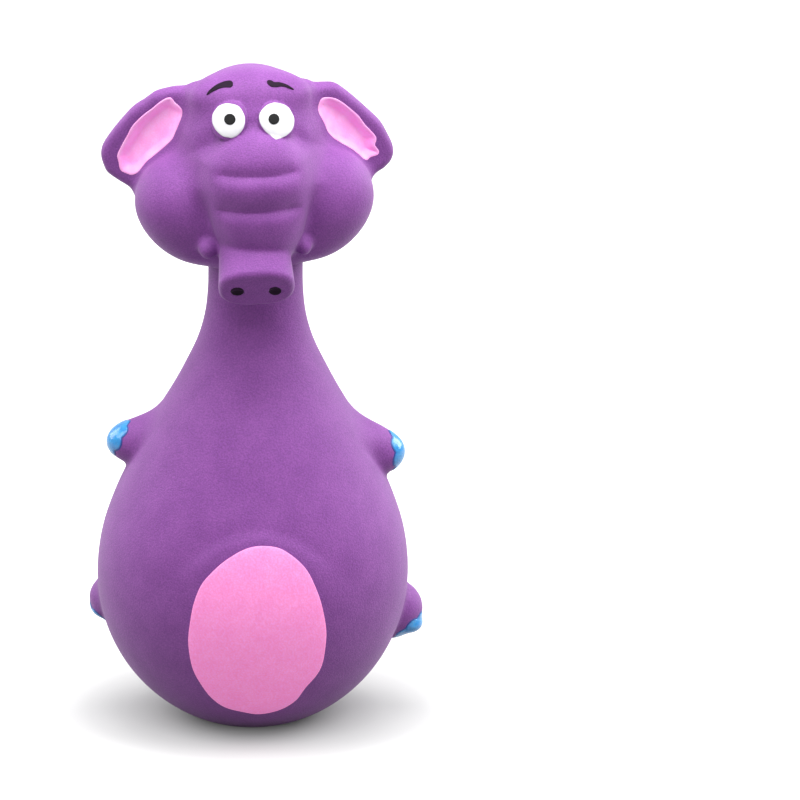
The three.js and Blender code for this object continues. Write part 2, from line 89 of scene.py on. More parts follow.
# %% Place the camera
PHOTO_PIXELS = 800
PIXELS_PER_MM = 5.39
AXIS_COLUMN = 255
LENS = 600
SENSOR = 36
AIM_HEIGHT = 61.0
elevation = math.radians(16)
forward = np.array([0, math.cos(elevation), -math.sin(elevation)])
upward = np.array([0, math.sin(elevation), math.cos(elevation)])
rightward = np.array([1.0, 0.0, 0.0])
distance = LENS / SENSOR * PHOTO_PIXELS / PIXELS_PER_MM
camera_place = np.array([0, 0, AIM_HEIGHT]) - distance * forward

camera = bpy.data.objects.new("camera", bpy.data.cameras.new("camera"))
bpy.context.scene.collection.objects.link(camera)
bpy.context.scene.camera = camera
camera.location = camera_place * MM
camera.rotation_euler = (math.pi / 2 - elevation, 0, 0)
camera.data.lens = LENS
camera.data.sensor_width = SENSOR
camera.data.shift_x = 0.5 - AXIS_COLUMN / PHOTO_PIXELS
print("the camera stands", round(distance), "mm away")


def unit(vectors):
    """Vectors scaled to a length of one."""
    return vectors / np.maximum(np.linalg.norm(vectors, axis=-1, keepdims=True), TINY)


def photo_rays(pixels):
    """The way that the camera looks through each pixel: forward by the lens, aside by the sensor."""
    pixels = np.asarray(pixels, float)
    across = (pixels[..., :1] - PHOTO_PIXELS / 2) / PHOTO_PIXELS + camera.data.shift_x
    up = (PHOTO_PIXELS / 2 - pixels[..., 1:]) / PHOTO_PIXELS
    return unit(LENS * forward + SENSOR * (across * rightward + up * upward))


# %% [markdown]
# ## Meshes
# Blender can build a mesh step by step with its modelling tools, or take it ready made. Here each
# piece is worked out as a whole array of points and faces, which is fast and gives the same piece
# each time, and a few helpers turn the arrays into meshes. A closed piece whose faces point inwards
# has a volume below zero, and is turned round.

# %% From points and faces to a piece
def volume_of(points, triangles):
    """The volume inside triangles: a sixth of the sum of a . (b x c) over their corners."""
    a, b, c = (points[triangles[:, k]] for k in range(3))
    return np.einsum("ij,ij->", a, np.cross(b, c)) / 6


def new_piece(name, points, quads, triangles=(), normals=None):
    """Puts points in millimetres and faces of four and three corners into a mesh at the origin."""
    quads = np.asarray(quads, np.int64).reshape(-1, 4)
    triangles = np.asarray(triangles, np.int64).reshape(-1, 3)
    whole = np.concatenate([quads[:, [0, 1, 2]], quads[:, [0, 2, 3]], triangles])
    if volume_of(points, whole) < 0:
        quads, triangles = quads[:, ::-1], triangles[:, ::-1]
    corners = np.concatenate([quads.ravel(), triangles.ravel()]).astype(np.int32)
    starts = np.concatenate([4 * np.arange(len(quads)), quads.size + 3 * np.arange(len(triangles))])
    mesh = bpy.data.meshes.new(name)
    mesh.vertices.add(len(points))
    mesh.vertices.foreach_set("co", (points * MM).astype(np.float32).ravel())
    mesh.loops.add(len(corners))
    mesh.loops.foreach_set("vertex_index", corners)
    mesh.polygons.add(len(starts))
    mesh.polygons.foreach_set("loop_start", starts.astype(np.int32))
    mesh.update(calc_edges=True)
    mesh.validate()
    mesh.shade_smooth()
    if normals is not None:
        mesh.normals_split_custom_set_from_vertices(normals.astype(np.float32))
    piece = bpy.data.objects.new(name, mesh)
    bpy.context.scene.collection.objects.link(piece)
    print(name, "has", len(whole), "triangles")
    return piece


# %% [markdown]
# Most pieces are rings, one after the other: round the body, or round a dab of paint from its middle
# to its edge. Faces then follow from the counts of rows and columns alone, and none is drawn by hand.
# A ring's own outline is a smooth line through a few points.

# %% Rings and smooth lines
def grid_quads(rows, columns, closed_rows=False):
    """Quads between the rows of a grid whose columns go all the way round."""
    row = np.arange(rows if closed_rows else rows - 1)[:, None]
    column = np.arange(columns)[None, :]
    next_row, next_column = (row + 1) % rows, (column + 1) % columns
    corners = [row * columns + column, row * columns + next_column,
               next_row * columns + next_column, next_row * columns + column]
    return np.stack(np.broadcast_arrays(*corners), -1).reshape(-1, 4)


def ringed_piece(name, first, rings, last):
    """A closed piece: a point, rings one after the other, and a point at the far end."""
    count, columns = rings.shape[:2]
    points = np.concatenate([[first], rings.reshape(-1, 3), [last]])
    column = np.arange(columns)
    after = (column + 1) % columns
    start = np.stack([np.zeros(columns, int), after + 1, column + 1], -1)
    base = (count - 1) * columns + 1
    end = np.stack([base + column, base + after, np.full(columns, len(points) - 1)], -1)
    return new_piece(name, points, grid_quads(count, columns) + 1, np.concatenate([start, end]))


def closed_line(points, count):
    """A smooth closed line through points. Between b and c, with a before and d after, it is half of
    2b + (c - a) t + (2a - 5b + 4c - d) t^2 + (3b - 3c + d - a) t^3."""
    points = np.asarray(points, float)
    place = np.arange(count) / count * len(points)
    i = place.astype(int)
    t = (place - i)[:, None]
    a, b, c, d = (points[(i + k) % len(points)] for k in (-1, 0, 1, 2))
    return 0.5 * (2 * b + (c - a) * t + (2 * a - 5 * b + 4 * c - d) * t**2 + (3 * b - 3 * c + d - a) * t**3)


def eased(values, start, end):
    """Rises smoothly from 0 at start to 1 at end, as s^2 (3 - 2s) of the share s of the way."""
    share = np.clip((values - start) / (end - start), 0, 1)
    return share * share * (3 - 2 * share)


square = closed_line([(0, 0), (1, 0), (1, 1), (0, 1)], 8)
print("a smooth line through a square's corners passes", np.round(square[1], 3).tolist(), "on its side")


# %% [markdown]
# ## Distances
# On the real toy nothing is glued on: the arms, cheeks, trunk and ears swell out of one skin. Loose
# shapes pushed into each other would show hard creases. A sculpting brush would smooth them, but no
# number would say how much. So each form is written as a distance: a function that says how far any
# point lies outside the form, and is below zero inside it. Two distances join with a fillet of any
# width, which is what the plaster mould has.

# %% Helpers for distances
WALK_SHARE = 0.85
SLOPE_REACH = 0.02
LEAST_STEEPNESS = 1e-6


def in_frame(points, origin, axes):
    """Points in a frame of its own origin and axes, in the points' own precision."""
    return (points - np.asarray(origin, points.dtype)) @ np.asarray(axes, points.dtype)


def ellipsoid_distance(points, centre, radii):
    """About how far points lie outside an ellipsoid: with q the offset from its centre over its radii,
    |q| (|q| - 1) / |q over its radii|."""
    offset = points - np.asarray(centre, points.dtype)
    radii = np.asarray(radii, points.dtype)
    scaled = np.linalg.norm(offset / radii, axis=-1)
    steepness = np.linalg.norm(offset / radii**2, axis=-1)
    return scaled * (scaled - 1) / np.maximum(steepness, LEAST_STEEPNESS)


def joined(a, b, fillet):
    """Two forms as one: the lesser distance, less (1 - |a - b| / fillet)^2 fillet / 4 where they meet."""
    near = np.maximum(1 - np.abs(a - b) / fillet, 0)
    return np.minimum(a, b) - near**2 * fillet / 4


def rounded(a, b, edge):
    """What lies inside both a and b, where they meet as the legs of a right angle, with a round edge."""
    legs = np.stack([a + edge, b + edge], -1)
    return np.linalg.norm(np.maximum(legs, 0), axis=-1) + np.minimum(legs.max(-1), 0) - edge


def cut(a, b, fillet):
    """Form a without form b, with the edge rounded by the fillet."""
    return -joined(-a, b, fillet)


def slope_of(distance_to, points):
    """The way out of a form at each point: central differences of its distance along x, y and z."""
    steps = SLOPE_REACH * np.eye(3)
    parts = [distance_to(points + step) - distance_to(points - step) for step in steps]
    return np.stack(parts, -1) / (2 * SLOPE_REACH)


def landed(distance_to, starts, ways, steps=48):
    """Where rays meet a form: each walks on by nearly the distance that is still free before it."""
    walked = np.zeros(np.broadcast_shapes(starts.shape, ways.shape)[:-1])
    for _ in range(steps):
        walked = walked + WALK_SHARE * distance_to(starts + ways * walked[..., None])
    return starts + ways * walked[..., None]


def ball_distance(points):
    """How far points lie outside a ball of radius 3, to try the helpers on."""
    return np.linalg.norm(points, axis=-1) - 3


hit = landed(ball_distance, np.array([9.0, 0, 0]), np.array([-1, 0, 0]))
print("a ray sent at a ball of radius 3 lands at", round(float(hit[0]), 3))

# %% [markdown]
# ## Body
# The body is turned round an axis, as a pear is, so its shape is a profile: an ellipse below the
# widest place, and a smooth taper above it. Blender's Screw modifier turns a profile too, but the
# stubs have to grow out of this one, so it stays a formula that a distance can use. The toy was dried
# standing, and leans by half a millimetre, so the axis bends a little with height.

# %% Body profile
BODY_RADIUS = (node_box("body_skin")[1][0] - node_box("body_skin")[0][0]) / 2
NECK_RADIUS = 8.75
NECK_TOP = node_box("neck_upper")[1][2]
SEAM_HEIGHT = node_box("body_skin")[1][2]
NECK_MIDDLE = node_box("neck_lower")[1][2]
WIDEST_HEIGHT = 28.3
BASE_RADIUS = 8.3
WALL = 1.8
TAPER_SHARES = np.array([
    [0, 1], [0.131, 0.96], [0.25, 0.851], [0.368, 0.697], [0.487, 0.524], [0.605, 0.323],
    [0.685, 0.201], [0.763, 0.096], [0.842, 0.031], [0.922, 0.004], [1, 0],
])
LEAN_ROWS = np.array([[0, -0.6], [20, -0.5], [45, -0.25], [66, 0.05], [87, 0.1]])
TAPER_TABLE = {"start": -0.2, "end": 1.2, "rows": 1401, "window": 61, "from": 0.05, "to": 0.99}
bottom_depth = WIDEST_HEIGHT / math.sqrt(1 - (BASE_RADIUS / BODY_RADIUS) ** 2)


def taper_line():
    """The taper as a fine table: cubic pieces through its rows, with each slope taken across its
    neighbours, then averaged over a short length so that no row shows in the shine."""
    rows = TAPER_SHARES
    slopes = np.zeros(len(rows))
    slopes[1:-1] = (rows[2:, 1] - rows[:-2, 1]) / (rows[2:, 0] - rows[:-2, 0])
    place = np.linspace(TAPER_TABLE["start"], TAPER_TABLE["end"], TAPER_TABLE["rows"])
    held = np.clip(place, 0, 1)
    i = np.clip(np.searchsorted(rows[:, 0], held, side="right") - 1, 0, len(rows) - 2)
    width = rows[i + 1, 0] - rows[i, 0]
    t = (held - rows[i, 0]) / width
    level = rows[i, 1] + (rows[i + 1, 1] - rows[i, 1]) * t * t * (3 - 2 * t)
    level = level + width * t * (1 - t) * (slopes[i] * (1 - t) - slopes[i + 1] * t)
    window = np.hanning(TAPER_TABLE["window"])
    smooth = np.convolve(level, window / window.sum(), mode="same")
    return place, np.where((place > TAPER_TABLE["from"]) & (place < TAPER_TABLE["to"]), smooth, level)


taper_place, taper_level = taper_line()


def body_radius(height):
    """The profile: an ellipse below the widest place, the taper above it."""
    drop = np.clip((WIDEST_HEIGHT - height) / bottom_depth, 0, 1)
    share = (height - WIDEST_HEIGHT) / (NECK_TOP - WIDEST_HEIGHT)
    taper = NECK_RADIUS + (BODY_RADIUS - NECK_RADIUS) * np.interp(share, taper_place, taper_level)
    return np.where(height < WIDEST_HEIGHT, BODY_RADIUS * np.sqrt(1 - drop**2), taper)


def body_lean(height):
    """How far the axis stands aside at a height."""
    return np.interp(height, LEAN_ROWS[:, 0], LEAN_ROWS[:, 1])


print("widest", round(2 * float(body_radius(np.array(WIDEST_HEIGHT))), 1), "mm")

# %% [markdown]
# Under the belly paint the skin swells in a low disc, whose edge catches the light just above the paint. A
# bump in a material could hint at it, but would be missing from the mesh itself. So it is added to the body's
# radius, and needs no mesh of its own.

# %% Belly and bare body
BELLY = {"side": 0.4, "height": 22.6, "half_width": 16.4, "half_height": 19.9, "swell": 0.36, "edge": 1.1,
         "low_edge": 5, "low_from": 0.85, "low_full": 0.1, "front": 8}
SLOPE_STEP = 0.1


def belly_swell(points):
    """The low disc under the belly paint: full inside an ellipse, and gone a little way past its edge.
    The edge is short above the paint and long at the sides and below, where it hardly shows."""
    across = (points[..., 0] - BELLY["side"]) / BELLY["half_width"]
    up = (points[..., 2] - BELLY["height"]) / BELLY["half_height"]
    outside = (np.hypot(across, up) - 1) * BELLY["half_width"]
    edge = BELLY["edge"] + BELLY["low_edge"] * (1 - eased(up, BELLY["low_full"], BELLY["low_from"]))
    front = eased(-points[..., 1], 0, BELLY["front"])
    return BELLY["swell"] * front * (1 - eased(outside, -edge, edge))


def bare_body_distance(points):
    """How far points lie outside the bare body: the way out from its axis, flattened by its slope."""
    height = points[..., 2]
    reach = np.hypot(points[..., 0] - body_lean(height), points[..., 1])
    slope = (body_radius(height + SLOPE_STEP) - body_radius(height - SLOPE_STEP)) / (2 * SLOPE_STEP)
    return (reach - body_radius(height) - belly_swell(points)) / np.sqrt(1 + slope**2)


belly_middle = np.array([BELLY["side"], -BODY_RADIUS, BELLY["height"]])
print("the belly stands out by", round(float(belly_swell(belly_middle)), 2), "mm")

# %% [markdown]
# ## Limbs and tail
# Each arm and foot is a blunt stub. Above, the mould lets it flow out of the body in a wide fillet.
# Below, it ends at a tight crease. A ball pushed into the body would have the same hard line all
# round. So a stub is joined by its distance, with a fillet whose width changes with height: wide
# above the middle of the stub and narrow under it. The toes stand out as a low pad at the lower edge
# of each foot, and a short tail is moulded on the back.

# %% Limbs and tail
LIMBS = {
    "arm_left": {"centre": (-20.4, 2.6, 52.3), "radii": (7.1, 5.4, 4.4), "above": 4.5, "below": 1.3},
    "arm_right": {"centre": (20.5, 2.8, 50.3), "radii": (7.3, 5.4, 4.8), "above": 6, "below": 1.1},
    "foot_left": {"centre": (-24.7, 4.8, 21.5), "radii": (6.2, 6.2, 4.8), "above": 1.6, "below": 1.0},
    "foot_right": {"centre": (24.9, 5.0, 19.3), "radii": (6.4, 6.2, 5.6), "above": 1.6, "below": 0.9},
}
TOES = {
    "foot_left": {"centre": (-28.2, 4.4, 19.7), "radii": (2.2, 3.6, 1.6)},
    "foot_right": {"centre": (28.9, 4.4, 16.7), "radii": (2.3, 3.7, 1.7)},
}
TOE_FILLET = 0.7
FILLET_BAND = (-1.5, 5)
TAIL = {"height": 43, "radii": (2.0, 1.9, 5.6), "fillet": 1.6}
tail_slope = float(body_radius(TAIL["height"] + 0.5) - body_radius(TAIL["height"] - 0.5))
tail_up = unit(np.array([0, tail_slope, 1]))
tail_axes = np.stack([rightward, np.cross(tail_up, rightward), tail_up], -1)
tail_place = np.array([0, float(body_radius(TAIL["height"])), TAIL["height"]])


def body_distance(points):
    """The bare body joined with its four stubs and its tail."""
    whole = bare_body_distance(points)
    for name, limb in LIMBS.items():
        stub = ellipsoid_distance(points, limb["centre"], limb["radii"])
        if name in TOES:
            stub = joined(stub, ellipsoid_distance(points, **TOES[name]), TOE_FILLET)
        above = eased(points[..., 2] - limb["centre"][2], *FILLET_BAND)
        whole = joined(whole, stub, limb["below"] + (limb["above"] - limb["below"]) * above)
    tail = ellipsoid_distance(in_frame(points, tail_place, tail_axes), (0, 0, 0), TAIL["radii"])
    return joined(whole, tail, TAIL["fillet"])


print("the tail leans in by", round(-math.degrees(math.atan(tail_slope))), "degrees")

# %% [markdown]
# ## The body's skin
# A surface of two parameters fits the body: the angle round the axis and the height. At each of these
# the radius is found by walking in from outside until the distance is nought. That brings in the
# stubs with no extra mesh, where a Boolean modifier would leave ragged faces along each root. The
# normals are taken from the distance, so no seam shows where the neck goes on from the body.

# %% Rows of a skin
COLUMNS = 360
ROW_STEP = 0.42
RAY_START = 9
RAY_STEPS = 60
turns = np.linspace(0, 2 * math.pi, COLUMNS, endpoint=False)
round_ways = np.stack([np.cos(turns), np.sin(turns), np.zeros(COLUMNS)], -1)


def outer_heights(low, high):
    """Heights whose steps along the profile are even: near the base they are set by the angle."""
    count = int((high - max(low, WIDEST_HEIGHT)) / ROW_STEP) + 2
    upper = np.linspace(max(low, WIDEST_HEIGHT), high, count)
    if low >= WIDEST_HEIGHT:
        return upper
    angle = math.asin((WIDEST_HEIGHT - low) / bottom_depth)
    lower = WIDEST_HEIGHT - bottom_depth * np.sin(np.linspace(angle, 0, int(angle * BODY_RADIUS / ROW_STEP)))
    return np.concatenate([lower[:-1], upper])


def skin_rows(distance_to, heights):
    """Rings of the skin at each height, walked in from outside along level rays."""
    axis = np.stack([body_lean(heights), np.zeros_like(heights), heights], -1)[:, None]
    starts = axis + round_ways * (body_radius(heights)[:, None, None] + RAY_START)
    return landed(distance_to, starts, -round_ways[None], RAY_STEPS)


def plain_rows(profile):
    """Rings of a turned profile of [radius, height] rows."""
    profile = np.asarray(profile, float)
    axis = np.stack([body_lean(profile[:, 1]), np.zeros(len(profile)), profile[:, 1]], -1)[:, None]
    return axis + round_ways * profile[:, 0][:, None, None]


def skin_piece(name, outer, inner, distance_to):
    """A closed wall: outer rings, then inner rings back again, with the outer normals from the form."""
    rings = np.concatenate([outer, inner])
    normals = np.zeros_like(rings)
    normals[:len(outer)] = unit(slope_of(distance_to, outer))
    quads = grid_quads(len(rings), COLUMNS, closed_rows=True)
    return new_piece(name, rings.reshape(-1, 3), quads, normals=normals.reshape(-1, 3))


stub_row = skin_rows(body_distance, np.array([LIMBS["foot_right"]["centre"][2]]))[0]
print("across the feet the skin is", round(float(np.ptp(stub_row[:, 0])), 1), "mm wide")

# %% [markdown]
# The real skin is hollow and open at the base. A Solidify modifier would give the wall, but not the
# base. So the grid itself folds in round the recess of the squeaker's flange, over the lip of its
# hole, and runs up the inside of the wall, where it closes on itself. Where two lengths meet, the
# ends of their walls slope apart inside, so they don't bite into each other when the neck bends.

# %% Body skin and lower neck
END_SLOPE = 0.3
SEAM_GAP = 0.005
INNER_FOOT = 5.0
INNER_ROWS = 24
CUP_GAP = 0.3
RECESS_DEPTH = 1.6
LIP_TOP = 3.5
HOLE_RADIUS = 4.9
BEVEL = 0.3
recess_radius = (node_box("squeaker_cup")[1][0] - node_box("squeaker_cup")[0][0]) / 2 + CUP_GAP
inner_heights = np.linspace(SEAM_HEIGHT - END_SLOPE, INNER_FOOT, INNER_ROWS)
inner_wall = np.stack([body_radius(inner_heights) - WALL, inner_heights], -1)
base_rows = [
    [HOLE_RADIUS + 4 * BEVEL, LIP_TOP], [HOLE_RADIUS + BEVEL, LIP_TOP], [HOLE_RADIUS, LIP_TOP - BEVEL],
    [HOLE_RADIUS, RECESS_DEPTH + BEVEL], [HOLE_RADIUS + BEVEL, RECESS_DEPTH],
    [recess_radius - BEVEL / 2, RECESS_DEPTH], [recess_radius, RECESS_DEPTH - BEVEL / 2],
    [recess_radius, BEVEL], [recess_radius + BEVEL / 3, BEVEL / 3], [recess_radius + BEVEL, 0],
]
body_skin = skin_piece(
    "skin_body",
    skin_rows(body_distance, outer_heights(0, SEAM_HEIGHT)),
    plain_rows(np.concatenate([inner_wall, base_rows])),
    body_distance,
)
neck_lower = skin_piece(
    "skin_neck_lower",
    skin_rows(body_distance, outer_heights(SEAM_HEIGHT + SEAM_GAP, NECK_MIDDLE)),
    plain_rows([[body_radius(NECK_MIDDLE) - WALL, NECK_MIDDLE - END_SLOPE],
                [body_radius(SEAM_HEIGHT) - WALL, SEAM_HEIGHT + END_SLOPE]]),
    body_distance,
)

# %% [markdown]
# The neck could stop where it meets the head, but then a gap would open there when the head nods. So
# it runs on a little way up inside the head, and the sharp crease under the cheeks is the true
# meeting of two round forms.

# %% Upper neck
NECK_INSIDE = 5
neck_heights = outer_heights(NECK_MIDDLE, NECK_TOP + NECK_INSIDE)
neck_upper = skin_piece(
    "skin_neck_upper",
    skin_rows(body_distance, neck_heights),
    plain_rows([[NECK_RADIUS - WALL, neck_heights[-1]],
                [body_radius(NECK_MIDDLE) - WALL, NECK_MIDDLE + END_SLOPE]]),
    body_distance,
)

# %% [markdown]
# ## Head
# The head was pulled from its mould by hand, and so it is turned and leaned by about two degrees.
# Each of its pieces could be turned by itself, but it is simpler to give the head a frame of its own
# on the top of the neck: everything on the head is placed upright in that frame, and only the frame
# is turned.

# %% Head frame
HEAD_TURN = math.radians(2.2)
HEAD_LEAN = math.radians(1.9)
lean_turn = np.array([[math.cos(HEAD_LEAN), 0, -math.sin(HEAD_LEAN)], [0, 1, 0],
                      [math.sin(HEAD_LEAN), 0, math.cos(HEAD_LEAN)]])
side_turn = np.array([[math.cos(HEAD_TURN), -math.sin(HEAD_TURN), 0],
                      [math.sin(HEAD_TURN), math.cos(HEAD_TURN), 0], [0, 0, 1]])
head_axes = lean_turn @ side_turn
head_origin = np.array([0, 0, NECK_TOP])


def to_head(points):
    """Points in the head's own frame."""
    return in_frame(points, head_origin, head_axes)


def from_head(points):
    """The way back from the head's own frame."""
    return points @ head_axes.T + head_origin


def mirrored(centre, side):
    """A place on the left for side -1, or on the right for side 1."""
    return (centre[0] * side, *centre[1:])


print("the head's frame stands", round(float(NECK_TOP), 1), "mm high")

# %% [markdown]
# The head is a domed forehead over two fat cheeks and a jaw. They are round masses, as a modeller
# presses them together in clay before the mould is made, so each is an ellipsoid that joins the
# others in a fillet of its own. Two low ridges run over the eyes, and soft hollows lie between the
# eyes and at the temples.

# %% Skull
CRANIUM = {"centre": (0, 0, 23), "radii": (14.2, 14.6, 15.1)}
CHEEK = {"centre": (13.8, -3.6, 12.5), "radii": (8.8, 9.6, 10.4), "fillet": 3.5, "aside": 0.2}
CHEEK_TUCK = 0.32
TUCK_EASE = 4
JAW = {"centre": (0, -3, 9.8), "radii": (15.5, 10.5, 8.8), "fillet": 3}
NAPE = {"centre": (0, 1, 6), "radii": (10.0, 10.2, 9.0), "fillet": 3}
BROW_RIDGE = {"centre": (4.4, -4.6, 34.0), "radii": (6.4, 4.3, 3.0), "fillet": 4}
TEMPLE = {"centre": (9.6, -14.6, 27.4), "radii": (2.6, 3.0, 3.0), "fillet": 3}
BRIDGE = {"centre": (0, -16.2, 30.4), "radii": (2.2, 2.6, 3.4), "fillet": 2.6}


def skull_distance(local):
    """The forehead with its ridges, the jaw, the nape, both cheeks, and soft hollows between the eyes and
    at each temple. A cheek tucks in towards its bottom: its side is moved by a share of the drop below
    its middle, which sets in smoothly."""
    whole = ellipsoid_distance(local, **CRANIUM)
    for side in (-1, 1):
        ridge = ellipsoid_distance(local, mirrored(BROW_RIDGE["centre"], side), BROW_RIDGE["radii"])
        whole = joined(whole, ridge, BROW_RIDGE["fillet"])
    jaw = ellipsoid_distance(local, JAW["centre"], JAW["radii"])
    jaw = joined(jaw, ellipsoid_distance(local, NAPE["centre"], NAPE["radii"]), NAPE["fillet"])
    for side in (-1, 1):
        drop = CHEEK["centre"][2] - local[..., 2]
        sagged = local.copy()
        sagged[..., 0] += side * CHEEK_TUCK * (drop + np.sqrt(drop**2 + TUCK_EASE**2)) / 2 - CHEEK["aside"]
        cheek = ellipsoid_distance(sagged, mirrored(CHEEK["centre"], side), CHEEK["radii"])
        jaw = joined(jaw, cheek, JAW["fillet"])
    whole = joined(whole, jaw, CHEEK["fillet"])
    for side in (-1, 1):
        temple = ellipsoid_distance(local, mirrored(TEMPLE["centre"], side), TEMPLE["radii"])
        whole = cut(whole, temple, TEMPLE["fillet"])
    return cut(whole, ellipsoid_distance(local, BRIDGE["centre"], BRIDGE["radii"]), BRIDGE["fillet"])


cheek_side = landed(skull_distance, np.array([40.0, *CHEEK["centre"][1:]]), np.array([-1.0, 0, 0]))
print("a cheek stands out", round(float(cheek_side[0]), 1), "mm from the head's middle")

# %% [markdown]
# Each eye is a low dome on the forehead. A flat ball laid level would stand off the skin on one side
# and sink in on the other. So its frame faces straight out of the forehead at that place, and the
# dome rises evenly all round.

# %% Places of the eyes
EYE_DOME = {-1: (-4.12, 30.9), 1: (4.46, 30.4), "half_width": 3.45, "half_height": 3.95, "depth": 1.2,
            "fillet": 0.15}


def eye_frame(side):
    """The middle of an eye on the forehead, and the ways across it, up it and out of it."""
    radii = np.array(CRANIUM["radii"])
    x, rise = EYE_DOME[side][0], EYE_DOME[side][1] - CRANIUM["centre"][2]
    y = -radii[1] * math.sqrt(1 - (x / radii[0]) ** 2 - (rise / radii[2]) ** 2)
    out = unit(np.array([x, y, rise]) / radii**2)
    across = unit(np.cross([0, 0, 1], out))
    return np.array([x, y, EYE_DOME[side][1]]), np.stack([across, np.cross(out, across), out], -1)


eye_frames = {side: eye_frame(side) for side in (-1, 1)}
print("the eyes face", round(math.degrees(math.asin(eye_frames[1][1][2, 2]))), "degrees up")

# %% [markdown]
# ## Trunk and snout
# The trunk is one thick barrel with a flattened front. Two creases cross the front, and fade out
# before its rounded corners, so the face between them bulges in three rolls. Three barrels stacked up
# would crease the sides as well, so here one barrel is sunk along two lines. Each crease is soft
# above and sharp below, because the roll above it hangs over the next one.

# %% Trunk
BARREL = {"centre": (0.6, -11, 18.4), "radii": (9.9, 9.5, 11.0), "square": 2.25, "taper": 0.012,
          "top_power": 2.0, "bottom_depth": 15.2, "bottom_power": 3.0, "least_slope": 0.05, "fillet": 1.6}
SHOULDER = {"fillet": 3.0, "below": (12, 19), "above": (23, 27)}
CREASES = {"heights": (15.2, 21.8), "depth": 1.0, "above": 2.0, "below": 1.1, "power": 1.4,
           "ends": (5.2, 9.0), "front": (1, 5)}


def barrel_distance(local):
    """A barrel whose level cut is a squarish oval, |x/a|^p + |y/b|^p to the power 1/p. That is joined with
    |z/c| in the same way, with a greater power below, where the barrel ends more bluntly. A crease sinks
    its front by exp(-|gap / width|^q), and is wider above, where the roll hangs over it."""
    a, b, c = BARREL["radii"]
    p = BARREL["square"]
    offset = local - np.asarray(BARREL["centre"], local.dtype)
    a = a * (1 - BARREL["taper"] * np.maximum(-offset[..., 2], 0))
    level = (np.abs(offset[..., 0] / a) ** p + np.abs(offset[..., 1] / b) ** p + TINY) ** (1 / p)
    above = offset[..., 2] > 0
    c = np.where(above, c, BARREL["bottom_depth"])
    height = np.abs(offset[..., 2]) / c
    power = np.where(above, BARREL["top_power"], BARREL["bottom_power"])
    reach = (level**power + height**power + TINY) ** (1 / power)
    slope = np.hypot((level / reach) ** (power - 1) / b, (height / reach) ** (power - 1) / c)
    plain = (reach - 1) / np.maximum(slope, BARREL["least_slope"])
    creases = 0
    for height in CREASES["heights"]:
        gap = local[..., 2] - height
        width = np.where(gap > 0, CREASES["above"], CREASES["below"])
        creases = creases + np.exp(-(np.abs(gap / width) ** CREASES["power"]))
    middle = 1 - eased(np.abs(offset[..., 0]), *CREASES["ends"])
    front = eased(-offset[..., 1], *CREASES["front"])
    return plain + CREASES["depth"] * creases * middle * front


trunk_start = np.array([BARREL["centre"][0], -40, BARREL["centre"][2]])
trunk_front = landed(barrel_distance, trunk_start, np.array([0.0, 1, 0]))
print("the trunk's middle roll reaches", round(-float(trunk_front[1]), 1), "mm forward")

# %% [markdown]
# Below the last roll the snout pokes out, a flattened pipe that droops and is cut off square. Two
# nostrils are pressed into its end, and a nub of a tusk stands on each side of it. Dark spots alone
# would do for nostrils from afar, but the light falls into real dimples, so they are cut out of the
# form.

# %% Snout, tusks and the whole face
SNOUT = {"face": (-0.4, -19.4, 0.3), "half_width": 7.1, "half_height": 5.5, "length": 11, "edge": 1.3,
         "flare": 0.01, "flare_length": 8, "square": 2.5, "least_slope": 0.1, "fillet": 0.6}
SNOUT_DROOP = math.radians(43)
NOSTRIL = {"out": 3.5, "down": 0.3, "radii": (1.25, 0.85, 0.7), "edge": 0.5}
TUSKS = {
    -1: {"centre": (-8.9, -13.0, 7.0), "radii": (1.7, 1.9, 1.8)},
    1: {"centre": (8.7, -12.7, 6.8), "radii": (1.5, 1.8, 1.7)},
}
TUSK_FILLET = 1.3
snout_out = np.array([0, -math.cos(SNOUT_DROOP), -math.sin(SNOUT_DROOP)])
snout_up = np.array([0, -math.sin(SNOUT_DROOP), math.cos(SNOUT_DROOP)])
snout_axes = np.stack([rightward, snout_up, snout_out], -1)


def snout_distance(local):
    """A pipe of squarish oval section, |x/a|^p + |y/b|^p = 1, that flares a little towards its end. Its
    rim is rounded."""
    offset = local - np.asarray(SNOUT["face"], local.dtype)
    along = offset @ snout_out.astype(local.dtype)
    up = offset @ snout_up.astype(local.dtype)
    flare = 1 + SNOUT["flare"] * np.clip(along, -SNOUT["flare_length"], 0)
    a, b, p = SNOUT["half_width"] * flare, SNOUT["half_height"], SNOUT["square"]
    across, over = np.abs(offset[..., 0] / a), np.abs(up / b)
    level = (across**p + over**p + TINY) ** (1 / p)
    steepness = np.hypot(across ** (p - 1) / a, over ** (p - 1) / b) / level ** (p - 1)
    side = (level - 1) / np.maximum(steepness, SNOUT["least_slope"])
    return rounded(side, np.abs(along + SNOUT["length"] / 2) - SNOUT["length"] / 2, SNOUT["edge"])


